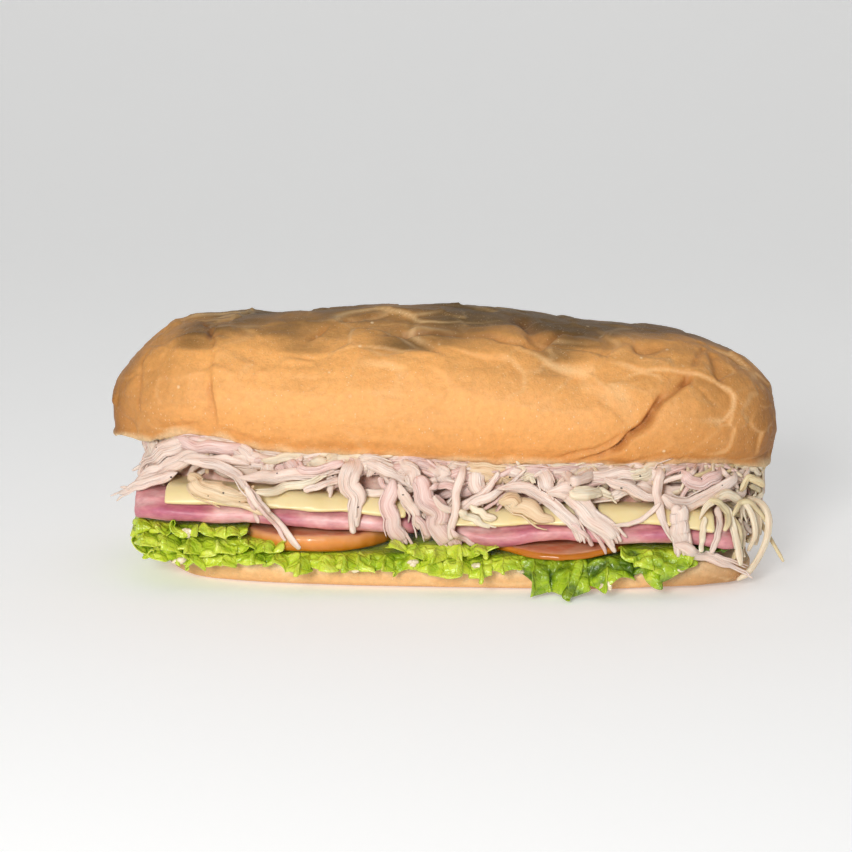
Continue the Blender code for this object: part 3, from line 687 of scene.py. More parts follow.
# tiers of the frilly leaf: left and right end, height where it leaves the bread, free length and droop
# (degrees) along it, height, wavelength and overhang of its frill, height of its crimped edge
leafTiers = {
    "leafLowLeft": dict(node="leaf_low_left", left=-.1240, right=-.0305, z=.0138,
                        length=[(-.124, .0090), (-.085, .0092), (-.03, .0088)],
                        droop=[(-.124, 12), (-.085, 20), (-.03, 20)],
                        ruffle=.0036, wave=.0094, fold=.0023, crimp=.0012, seed=1, dark=.0),
    "leafMidLeft": dict(node="leaf_high_left", left=-.1235, right=-.0600, z=.0184,
                        length=[(-.124, .0095), (-.08, .0105), (-.056, .0080)],
                        droop=[(-.124, 4), (-.08, 10), (-.056, 24)],
                        ruffle=.0034, wave=.0086, fold=.0021, crimp=.0012, seed=2, dark=.0),
    "leafHighLeft": dict(node="leaf_high_left", left=-.1250, right=-.0760, z=.0226,
                         length=[(-.125, .0090), (-.09, .0085), (-.074, .0060)],
                         droop=[(-.125, 0), (-.09, 6), (-.074, 10)],
                         ruffle=.0030, wave=.0090, fold=.0018, crimp=.0011, seed=3, dark=.05),
    "leafLowMiddle": dict(node="leaf_low_middle", left=-.0340, right=.0310, z=.0138,
                          length=[(-.034, .0088), (0, .0092), (.031, .0092)],
                          droop=[(-.034, 20), (0, 24), (.031, 24)],
                          ruffle=.0038, wave=.0092, fold=.0020, crimp=.0013, seed=4, dark=.0),
    "leafMidMiddle": dict(node="leaf_high_middle", left=-.0220, right=.0190, z=.0176,
                          length=[(-.022, .0080), (0, .0100), (.019, .0075)],
                          droop=[(-.022, 12), (0, 18), (.019, 16)],
                          ruffle=.0032, wave=.0084, fold=.0018, crimp=.0012, seed=5, dark=.0),
    "leafLowRight": dict(node="leaf_low_right", left=.0296, right=.0930, z=.0140,
                         length=[(.0296, .0125), (.045, .0150), (.060, .0110), (.093, .0105)],
                         droop=[(.0296, 44), (.045, 62), (.060, 44), (.093, 34)],
                         ruffle=.0026, wave=.0150, fold=.0020, crimp=.0010, seed=6, dark=.22,
                         cells=170.0, roll=45.0),
    "leafHighRight": dict(node="leaf_high_right", left=.0650, right=.0960, z=.0170,
                          length=[(.065, .0070), (.080, .0115), (.096, .0080)],
                          droop=[(.065, 20), (.080, 32), (.096, 24)],
                          ruffle=.0022, wave=.0130, fold=.0014, crimp=.0008, seed=7, dark=.16,
                          cells=180.0, roll=40.0),
    # a dark strip of leaf behind the right-end tangle: painted shade, standing for the shadow between the
    # strands
    "paintedShadeLeaf": dict(node="leaf_high_right", left=.0880, right=.1120, z=.0172,
                    length=[(.088, .0030), (.112, .0030)], droop=[(.088, 10), (.112, 10)],
                    ruffle=.0012, wave=.0110, fold=.0005, crimp=.0005, seed=8, dark=.60),
}
# tongues of the low leaves: place, extra length, half width
leafTongues = [(-.100, .002, .006), (-.057, .0045, .0045), (-.030, .0040, .0045), (-.019, .0030, .0030),
               (.000, .0055, .0040), (.0115, .0050, .0040), (.034, .006, .0035), (.0462, .011, .0030),
               (.058, .003, .006), (.0795, .0070, .0032)]
# the leaf's mesh step along and across, its thickness, how far it reaches in, the unevenness of its edge;
# and its blisters: how many to the metre, how high, and how far the rim rolls under (degrees)
leafCell = {"along": 0.00042, "across": 0.00052, "thickness": 0.00034, "inside": 0.014, "edgeTooth": 0.0030,
            "cells": 250.0, "blister": 0.0011, "roll": 60.0}


def lettuceMaterial():
    material, shader = newMaterial("frillyLettuce", 0.24, Specular_IOR_Level=0.6, Subsurface_Weight=0.22,
                                   Subsurface_Scale=0.0018, Subsurface_Radius=(0.55, 1.0, 0.15),
                                   Coat_Weight=0.16, Coat_Roughness=0.14)
    place = placeOf(material)
    tone = noiseOf(material, place, 85.0, 4.0, 0.6)
    # the 'edge' values paint the leaf lighter on its blister tops and darker between them, as painted light
    # and shade, and paler towards the free edge
    edge = attributeOf(material, "edge")
    mix = mathOf(material, "ADD", mathOf(material, "MULTIPLY", edge, 0.26),
                 mathOf(material, "MULTIPLY", tone, 0.84))
    # 'dark' makes some leaves a darker green, and the strip behind the right-end tangle dark as painted
    # shade
    mix = mathOf(material, "SUBTRACT", mix, attributeOf(material, "dark"))
    colour = rampOf(material, mix, (0.16, linear(76, 104, 18)), (0.34, linear(164, 192, 36)),
                    (0.56, linear(208, 224, 62)), (0.84, linear(228, 236, 112)))
    veins = addNode(material, "ShaderNodeTexVoronoi", {"Vector": place, "Scale": 330.0},
                    feature="DISTANCE_TO_EDGE")
    veinLines = greyRamp(material, veins.outputs["Distance"], (0.0, 1.0), (0.16, 0.0))
    colour = mixOf(material, mathOf(material, "MULTIPLY", veinLines, 0.10), colour, linear(178, 200, 110))
    setColour(material, shader, colour)
    height = mathOf(material, "ADD", mathOf(material, "MULTIPLY", veinLines, -0.40),
                    noiseOf(material, place, 640.0, 4.0))
    setBump(material, shader, height, 0.55, 0.0009)
    return material


def leafColumn(look, x, shares, side):
    # one column of the leaf, from inside the bread (below 0) to its free edge (1), rolled under at the rim
    seed = look["seed"] * 7.3 + (4.1 if side > 0 else 0)
    shelf = 0.0430 * rounding(x - baseMiddleX, 0.1260, 4.0)
    wander = noise.noise(Vector((x * 55, seed, side * 3.0)))
    length = along(look["length"], x) * (0.98 + 0.45 * wander)
    if look["node"].startswith("leaf_low") and side < 0:
        length += sum(extra * math.exp(-((x - at) / half) ** 2) for at, extra, half in leafTongues)
    length += leafCell["edgeTooth"] * noise.noise(Vector((x * 340, seed + 2, side)))
    ends = max(0.0, min(1.0, (x - look["left"]) / 0.005, (look["right"] - x) / 0.005))
    length *= 0.5 + 0.5 * math.sqrt(ends)
    droop = math.radians(along(look["droop"], x) + 22 * noise.noise(Vector((x * 48, seed + 4, side))))
    roll = math.radians(look.get("roll", leafCell["roll"]))
    roll *= 1 + 1.3 * noise.noise(Vector((x * 90, seed + 20, side)))
    shiver = noise.noise(Vector((x * 130, seed + 8, side)))
    phase = 2 * math.pi * x / look["wave"] + 3.2 * wander + 1.8 * shiver + seed
    strength = 0.95 + 0.9 * noise.noise(Vector((x * 75, seed + 6, side)))
    cells = look.get("cells", leafCell["cells"])
    column, blisterLightAndPaleEdge = [], []
    y, z, last = shelf, look["z"], 0.0
    for v in shares:
        if v < 0:
            column.append(Vector((x, side * (shelf + v * leafCell["inside"]), look["z"] - 0.0002)))
            blisterLightAndPaleEdge.append(0.0)
            continue
        rolled = max(0.0, (v - 0.45) / 0.55) ** 2
        bend = droop * min(1.0, 0.45 + 0.75 * v) + roll * rolled
        y += (v - last) * length * math.cos(bend)
        z -= (v - last) * length * math.sin(bend)
        last = v
        grow = v ** 1.1
        lift = look["ruffle"] * grow * strength * (math.sin(phase) + 0.3 * math.sin(2.2 * phase + seed))
        lift += 2.6 * look["crimp"] * v * v * noise.noise(Vector((x * 330, v * 2.2 + seed, side)))
        lift += 0.0009 * min(1.0, 3 * v) * noise.noise(Vector((x * 620, v * length * 620, seed + 30)))
        spot = Vector((x * cells, v * length * cells, seed))
        spot += noise.noise_vector(spot * 0.7) * 0.5
        gap = noise.voronoi(spot)[0][0]
        dome = max(-0.7, 1 - (gap / 0.52) ** 2) * 0.6 + 0.9 * noise.noise(spot * 1.3)
        lift += leafCell["blister"] * (250.0 / cells) * min(1.0, v * 5) * dome
        lean = look["fold"] * grow * strength * math.sin(2 * phase + 0.6)
        lean += 0.0010 * v * noise.noise(Vector((x * 300, v * 4, seed + 9)))
        place = Vector((x + lean, side * (y + lift * math.sin(bend)), z + lift * math.cos(bend)))
        place.z = max(place.z, 0.0008 + 0.0006 * v)
        column.append(place)
        # how light the leaf is painted here: painted light on the blister tops, painted shade between them,
        # paler towards the free edge
        blisterLightAndPaleEdge.append(max(0.0, 0.25 + 0.6 * dome + 0.2 * v * v))
    return column, blisterLightAndPaleEdge


def leafPiece(name, look, material):
    # both free edges and a strip of each half that lies in the bread
    step = leafCell["along"] * 1.0
    columns = max(12, round((look["right"] - look["left"]) / step))
    longest = max(value for _, value in look["length"])
    rows = max(6, round((longest + 0.003) / (leafCell["across"] * 1.0)))
    points, faces, edges = [], [], []
    for side in (-1, 1):
        first = len(points)
        shares = [-1.0, -0.4] + [j / rows for j in range(rows + 1)]
        for i in range(columns + 1):
            x = look["left"] + (look["right"] - look["left"]) * i / columns
            column, blisterLightAndPaleEdge = leafColumn(look, x, shares, side)
            points += [place + shift for place in column]
            edges += blisterLightAndPaleEdge
        width = len(shares)
        for i in range(columns):
            for j in range(width - 1):
                a = first + i * width + j
                quad = (a, a + 1, a + width + 1, a + width)
                faces.append(quad if side > 0 else quad[::-1])
    obj = meshObject(name, points, faces)
    joinStrips(obj, columns, len(shares))
    applyModifier(obj, "SMOOTH", iterations=3, factor=0.5)
    # the painted light and shade of the blisters, with the paler free edge
    writeAttribute(obj, "edge", np.array(edges))
    writeAttribute(obj, "dark", np.full(len(points), look["dark"]))
    applyModifier(obj, "SOLIDIFY", thickness=leafCell["thickness"], offset=0.0)
    smoothShade(obj)
    finishPiece(obj, material, "lettuce", look["node"])
    return obj


def joinStrips(obj, columns, width):
    # the flat middle that joins the front and the back of the leaf
    mesh = obj.data
    work = bmesh.new()
    work.from_mesh(mesh)
    work.verts.ensure_lookup_table()
    half = (columns + 1) * width
    for i in range(columns):
        a, b = i * width, (i + 1) * width
        work.faces.new([work.verts[k] for k in (a, b, half + b, half + a)])
    bmesh.ops.recalc_face_normals(work, faces=work.faces)
    work.to_mesh(mesh)
    work.free()


def leafRib(material):
    # the pale midrib of the right leaf, down to its stalk
    route = [(.0510, -.0445, .0150), (.0500, -.0500, .0110), (.0485, -.0530, .0070), (.0468, -.0555, .0035),
             (.0455, -.0590, .0019)]
    builder = StrandBuilder()
    draw = random.Random(3)
    places = [Vector(p) + shift for p in route]
    dense = [places[k].lerp(places[k + 1], t / 5) for k in range(4) for t in range(5)] + [places[-1]]
    for _ in range(3):
        dense = [dense[0]] + [(dense[k - 1] + dense[k] * 2 + dense[k + 1]) / 4
                              for k in range(1, len(dense) - 1)] + [dense[-1]]
    builder.tube(dense, [Vector((0, -1, 0.3))] * len(dense), 0.0040, 0.0026, 12, draw, blunt=0.6)
    obj = meshObject("leafRib", builder.points, builder.faces)
    writeAttribute(obj, "edge", np.full(len(builder.points), 0.35))
    writeAttribute(obj, "dark", np.full(len(builder.points), 0.22))
    smoothShade(obj)
    finishPiece(obj, material, "lettuce", "leaf_low_right")
    return obj


# Shredded chicken

chickenTones = {
    "pale": dict(dark=(196, 150, 130), middle=(228, 200, 184), light=(243, 222, 208)),
    "milky": dict(dark=(198, 156, 136), middle=(231, 206, 188), light=(244, 227, 212)),
    "pink": dict(dark=(188, 136, 124), middle=(220, 182, 171), light=(238, 210, 200)),
    "cream": dict(dark=(202, 164, 126), middle=(230, 208, 178), light=(242, 228, 202)),
    "tan": dict(dark=(176, 128, 88), middle=(222, 188, 148), light=(236, 210, 176)),
    "yellow": dict(dark=(170, 132, 84), middle=(216, 193, 148), light=(234, 217, 178)),
}


def chickenMaterial(tone):
    look = {k: linear(*v) for k, v in chickenTones[tone].items()}
    material, shader = newMaterial(tone + "Chicken", 0.42, Specular_IOR_Level=0.42, Subsurface_Weight=0.18,
                                   Subsurface_Scale=0.0025, Subsurface_Radius=(1.0, 0.6, 0.45))
    uv = addNode(material, "ShaderNodeUVMap", uv_map="fibre").outputs["UV"]
    # the map is in millimetres, along the fibres and across them
    fibres = addNode(material, "ShaderNodeMapping", {"Vector": uv, "Scale": (0.09, 2.2, 1.0)})
    grain = noiseOf(material, fibres.outputs["Vector"], 1.0, 4.0, 0.62)
    coarse = addNode(material, "ShaderNodeMapping", {"Vector": uv, "Scale": (0.07, 0.55, 1.0)})
    patches = noiseOf(material, coarse.outputs["Vector"], 1.0, 3.0)
    mix = mathOf(material, "ADD", mathOf(material, "MULTIPLY", grain, 0.62),
                 mathOf(material, "MULTIPLY", patches, 0.38))
    colour = rampOf(material, mix, (0.33, look["dark"]), (0.44, look["middle"]), (0.60, look["light"]))
    setColour(material, shader, colour)
    setBump(material, shader, grain, 0.5, 0.0007)
    return material


# The heap is laid strand by strand on a sheet wrapped round it: a place on the sheet is a distance along
# the heap's outline in plan and a height, and the sheet keeps how far out the food there stands.
heap = {
    "middle": -0.0020, "halfLength": 0.1320, "halfWidth": 0.0395, "power": 3.0, "cell": 0.0007,
    "lowest": 0.004, "highest": 0.062, "coreHalfLength": 0.1145, "coreHalfWidth": 0.0368, "corePower": 3.2,
    "frontFill": 290, "backFill": 270, "rise": 0.0060, "endRise": 0.0100, "rings": 26, "flatness": 0.48,
    "sink": 0.40, "seed": 5,
    # the lowest place of the fill along x
    "floor": [(-0.136, 0.0370), (-0.112, 0.0365), (-0.100, 0.0380), (-0.050, 0.0365), (-0.012, 0.0340),
              (-0.005, 0.0190), (0.005, 0.0190), (0.012, 0.0310), (0.095, 0.0300), (0.108, 0.0270),
              (0.116, 0.0160), (0.136, 0.0150)],
    # how finely the fill in front, the fill at the back and the hanging strands at the back are meshed
    "frontFine": 0.75, "backFine": 0.55, "backHangFine": 0.60,
    # widths of the fill, and those of the thin tangle at the right end
    "widths": [0.0024, 0.0034, 0.0044, 0.0056, 0.0068, 0.0080],
    "endWidths": [0.0018, 0.0022, 0.0027, 0.0032],
}
# strands read off the front: three places (x, height) in millimetres, width, tone, and for some how far
# out they lie at least (millimetres) and whether they end torn rather than thin
measuredStrands = [
    (-92, 54, -108, 50, -119, 41, 7.4, "pale"), (-95, 49, -108, 43, -119, 36, 6.6, "pale"),
    (-103, 42, -114, 37, -123, 32, 4.2, "pale"), (-93, 53, -81, 52, -70, 49, 7.5, "pale"),
    (-101, 47, -88, 48, -75, 47, 4.2, "pale"), (-97, 42, -87, 38, -73, 35, 8.0, "tan"),
    (-70, 48, -58, 49, -46, 50, 3.4, "cream"), (-97, 48, -80, 44, -69, 35, 4.4, "pale"),
    (-73, 40, -72, 32, -71, 25, 1.9, "pink"), (-76, 44, -59, 43, -41, 46, 5.4, "pale"),
    (-74, 40, -67, 30, -55, 16, 3.0, "pale"), (-69, 33, -64, 25, -60, 19, 1.8, "pink"),
    (-70, 38, -58, 39, -47, 43, 3.6, "cream"), (-53, 38, -47, 40, -39, 42, 2.8, "pale"),
    (-56, 46, -48, 46, -39, 48, 3.4, "pink"), (-37, 50, -35, 38, -33, 25, 8.0, "pale"),
    (-30, 48, -24, 46, -16, 42, 4.9, "pale"), (-22, 49, -16, 46, -8, 39, 8.3, "pale"),
    (-25, 43, -23, 39, -18, 37, 2.3, "pink"), (-20, 42, -21, 30, -17, 19, 6.4, "pink", 0, True),
    (-18, 41, -13, 32, -10, 23, 4.5, "pale"), (-11, 43, -5, 31, 0, 19, 8.3, "pink", 0, True),
    (-11, 28, -8, 22, -7, 18, 3.0, "pink"), (-8, 48, -3, 45, 2, 40, 6.8, "pale"),
    (-6, 40, -1, 41, 4, 39, 3.0, "pink"), (-4, 37, 6, 32, 20, 45, 3.4, "pale"),
    (6, 49, 4, 35, 2, 20, 3.4, "pale"), (2, 24, 6, 20, 11, 18, 2.3, "pink"),
    (7, 31, 13, 35, 26, 42, 3.8, "pale"), (5, 31, 10, 28, 16, 25, 3.6, "cream"),
    (9, 33, 14, 30, 19, 28, 3.2, "cream"), (20, 40, 37, 36, 50, 24, 4.8, "pale", 0, True),
    (47, 27, 52, 23, 55, 18, 1.9, "pink"), (52, 27, 57, 21, 60, 15, 1.6, "pink"),
    (21, 36, 30, 33, 40, 27, 7.4, "tan"), (34, 49, 37, 44, 40, 39, 6.0, "pale"),
    (39, 40, 50, 35, 62, 21, 7.6, "pale", 0, True), (46, 40, 53, 39, 62, 37, 5.3, "cream"),
    (59, 43, 69, 39, 79, 34, 4.5, "pale"), (61, 46, 69, 46, 77, 47, 3.4, "cream"),
    (81, 48, 79, 36, 83, 22, 3.8, "pale"), (62, 27, 71, 28, 79, 35, 1.9, "pale"),
    (80, 38, 92, 34, 111, 44, 5.8, "pale"), (86, 34, 85.5, 28, 87, 19.5, 7.4, "pale", 9, True),
    (84, 20, 96, 14, 110, 7, 4.8, "pale", 9),
    (93, 29, 104, 37, 112, 27, 3.8, "cream", 2), (94, 30, 94, 23, 93, 17, 2.6, "cream", 6),
    (102, 32, 100, 24, 97, 16, 2.8, "pale", 6), (103, 33, 106, 22, 108, 10, 3.2, "cream", 5),
    (110, 26, 112, 20, 110, 13, 2.3, "cream", 3), (111, 37, 115, 41, 119, 37, 3.2, "yellow", 2),
    (112, 33, 117, 26, 116, 16, 3.0, "cream", 3), (106, 29, 112, 33, 119, 24, 2.4, "yellow", 4),
    (97, 36, 103, 31, 101, 24, 2.6, "yellow", 4),
    (43, 47, 50, 44, 58, 48, 4.9, "pale"), (20, 47, 26, 45, 33, 47, 4.5, "pale"),
    (87, 45, 96, 42, 107, 47, 4.9, "pink"), (9, 47, 14, 46, 20, 48, 4.5, "pale"),
]


# strands that stand free at the right end: width, tone and their places (x, y, z) in millimetres
freeStrands = [
    (3.3, "cream", [(111, -33, 3.2), (115, -33, 6.5), (119, -31, 12), (122, -29, 19), (122.5, -27, 26),
                    (120, -24, 31), (114, -20, 33)]),
    (2.0, "yellow", [(117, -18, 27), (121, -21, 21.5), (124.5, -23, 16), (129, -24, 8.5)]),
    (2.7, "cream", [(108, -24, 31), (112, -31, 33.5), (115.5, -33, 29), (117, -32, 21), (115, -30, 14)]),
    (2.4, "yellow", [(104, -30, 27), (107, -35, 29), (110.5, -36, 24), (111, -35, 17), (109, -33, 11)]),
    (2.6, "cream", [(118, -12, 30), (122, -6, 25), (122, 0, 17), (119, 4, 10)]),
    (2.3, "yellow", [(113, 30, 32), (118, 27, 26), (120, 24, 18), (117, 25, 10)]),
]


def layFree(builder, places, width, draw):
    route = [Vector(place) / 1000 + shift for place in places]
    stations = [k / (len(route) - 1) for k in range(len(route))]
    lines = [[(s, place[axis]) for s, place in zip(stations, route)] for axis in range(3)]
    rings = 34
    dense = [Vector([along(line, k / (rings - 1)) for line in lines]) for k in range(rings)]
    middle = Vector((0.095, 0.0, 0.02)) + shift
    normals = [(place - middle).normalized() for place in dense]
    builder.shred(dense, normals, width, width * 0.72, draw)


def planCurve():
    # the outline in plan from the left end along the front to the right end and back, in even steps
    count = 2400
    power = 2 / heap["power"]
    curve = []
    for i in range(count + 1):
        angle = 2 * math.pi * i / count
        c, s = math.cos(angle), math.sin(angle)
        curve.append((heap["middle"] - heap["halfLength"] * math.copysign(abs(c) ** power, c),
                      -heap["halfWidth"] * math.copysign(abs(s) ** power, s)))
    curve = np.array(curve)
    lengths = np.concatenate([[0], np.cumsum(np.linalg.norm(np.diff(curve, axis=0), axis=1))])
    steps = int(lengths[-1] / heap["cell"])
    even = np.linspace(0, lengths[-1], steps, endpoint=False)
    x, y = np.interp(even, lengths, curve[:, 0]), np.interp(even, lengths, curve[:, 1])
    ahead = np.stack([np.roll(x, -3) - np.roll(x, 3), np.roll(y, -3) - np.roll(y, 3)], 1)
    ahead /= np.linalg.norm(ahead, axis=1)[:, None]
    outward = np.stack([ahead[:, 1], -ahead[:, 0]], 1)
    kernel = np.ones(25) / 25
    for k in (0, 1):
        outward[:, k] = np.convolve(np.pad(outward[:, k], 12, mode="wrap"), kernel, "valid")
    outward /= np.linalg.norm(outward, axis=1)[:, None]
    return np.stack([x, y], 1), outward, lengths[-1]


class Sheet:
    # the wrapped sheet: how far out the food stands, by place along the outline and height

    def __init__(self, tree, breadTree):
        self.curve, self.outward, self.length = planCurve()
        self.columns = len(self.curve)
        self.rows = int((heap["highest"] - heap["lowest"]) / heap["cell"])
        self.out = np.empty((self.columns, self.rows))
        self.obstacle = np.empty((self.columns, self.rows))
        self.core = [self.coreOut(i) for i in range(self.columns)]
        self.bread = [self.core[i] + 0.003 for i in range(self.columns)]
        far = 0.03
        for i in range(self.columns):
            x, y = self.curve[i]
            nx, ny = self.outward[i]
            lip = along(lipHeights, x)
            core = self.core[i]
            start = Vector((x + nx * far, y + ny * far, lip + 0.0015)) + shift
            hit = breadTree.ray_cast(start, Vector((-nx, -ny, 0)), far + 0.03)
            if hit[0] is not None:
                self.bread[i] = far - hit[3]
            for j in range(self.rows):
                z = heap["lowest"] + j * heap["cell"]
                self.out[i, j] = core
                self.obstacle[i, j] = -0.05
                if z > lip - 0.001:
                    continue
                start = Vector((x + nx * far, y + ny * far, z)) + shift
                hit = tree.ray_cast(start, Vector((-nx, -ny, 0)), far + 0.03)
                if hit[0] is not None:
                    self.obstacle[i, j] = far - hit[3]
        self.out = np.maximum(self.out, self.obstacle)

    def coreOut(self, i):
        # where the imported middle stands, measured from the outline
        x, y = self.curve[i]
        nx, ny = self.outward[i]
        low, high = -0.045, 0.0
        for _ in range(18):
            middle = (low + high) / 2
            px = abs(x + nx * middle - heap["middle"]) / heap["coreHalfLength"]
            py = abs(y + ny * middle) / heap["coreHalfWidth"]
            inside = px ** heap["corePower"] + py ** heap["corePower"] < 1
            low, high = (middle, high) if inside else (low, middle)
        return low

    def tucked(self, columns, heights, outs, width, thick):
        # near the lip of the upper bread a strand goes in under it
        result = outs.copy()
        for k, (i, z) in enumerate(zip(columns, heights)):
            i = int(i) % self.columns
            lip = along(lipHeights, self.curve[i][0])
            share = smoothStep(lip - width * 0.75, lip - width * 0.15, z)
            limit = self.bread[i] - thick / 2 - 0.0012
            result[k] = min(outs[k], outs[k] * (1 - share) + limit * share)
        return result

    def column(self, x, front=True):
        # the column of the place at x, on the front or on the back
        half = self.columns // 2
        if front:
            return float(np.interp(x, self.curve[:half, 0], np.arange(half)))
        return float(half + np.interp(-x, -self.curve[half:, 0], np.arange(self.columns - half)))

    def window(self, i, z, reach):
        j = (z - heap["lowest"]) / heap["cell"]
        r = max(1, int(round(reach / heap["cell"])))
        columns = np.arange(int(round(i)) - r, int(round(i)) + r + 1) % self.columns
        rows = np.clip(np.arange(int(round(j)) - r, int(round(j)) + r + 1), 0, self.rows - 1)
        return columns, rows, r

    def under(self, i, z, reach):
        columns, rows, r = self.window(i, z, reach)
        part = self.out[np.ix_(columns, rows)]
        gap = np.hypot(*np.mgrid[-r:r + 1, -r:r + 1]) / (r + 0.5)
        return part[gap <= 1].max(), part[gap <= 1].mean()

    def raiseUnder(self, i, z, reach, centre, thick):
        columns, rows, r = self.window(i, z, reach)
        gap = np.hypot(*np.mgrid[-r:r + 1, -r:r + 1]) * heap["cell"] / reach
        dome = np.where(gap <= 1, centre + thick / 2 * np.sqrt(np.clip(1 - gap * gap, 0, 1)), -1)
        part = self.out[np.ix_(columns, rows)]
        self.out[np.ix_(columns, rows)] = np.maximum(part, dome)

    def point(self, i, z, out):
        i = i % self.columns
        a, t = int(i), i - int(i)
        b = (a + 1) % self.columns
        place = self.curve[a] * (1 - t) + self.curve[b] * t
        normal = self.outward[a] * (1 - t) + self.outward[b] * t
        return Vector((place[0] + normal[0] * out, place[1] + normal[1] * out, z)) + shift, normal


def strandRoute(sheet, ends, width):
    # the strand's way over what lies there already; ends holds three places (column, height)
    (i0, z0), (i1, z1), (i2, z2) = ends
    count = 40
    share = np.linspace(0, 1, count)
    ci, cz = 2 * i1 - (i0 + i2) / 2, 2 * z1 - (z0 + z2) / 2
    columns = i0 * (1 - share) ** 2 + ci * 2 * share * (1 - share) + i2 * share ** 2
    heights = z0 * (1 - share) ** 2 + cz * 2 * share * (1 - share) + z2 * share ** 2
    thick = width * heap["flatness"]
    high = np.array([sheet.under(i, z, width * 0.42)[0] for i, z in zip(columns, heights)])
    reach = 3
    bridged = np.array([high[max(0, k - reach):k + reach + 1].max() for k in range(count)])
    spread = 3 + int(width * 900)
    kernel = np.ones(2 * spread + 1) / (2 * spread + 1)
    bridged = np.convolve(np.pad(bridged, spread, mode="edge"), kernel, "valid")
    outs = np.maximum(bridged, high * 0.8 + bridged * 0.2) + thick * (0.5 - heap["sink"])
    outs = np.convolve(np.pad(outs, 2, mode="edge"), np.ones(5) / 5, "valid")
    return columns, heights, outs, thick


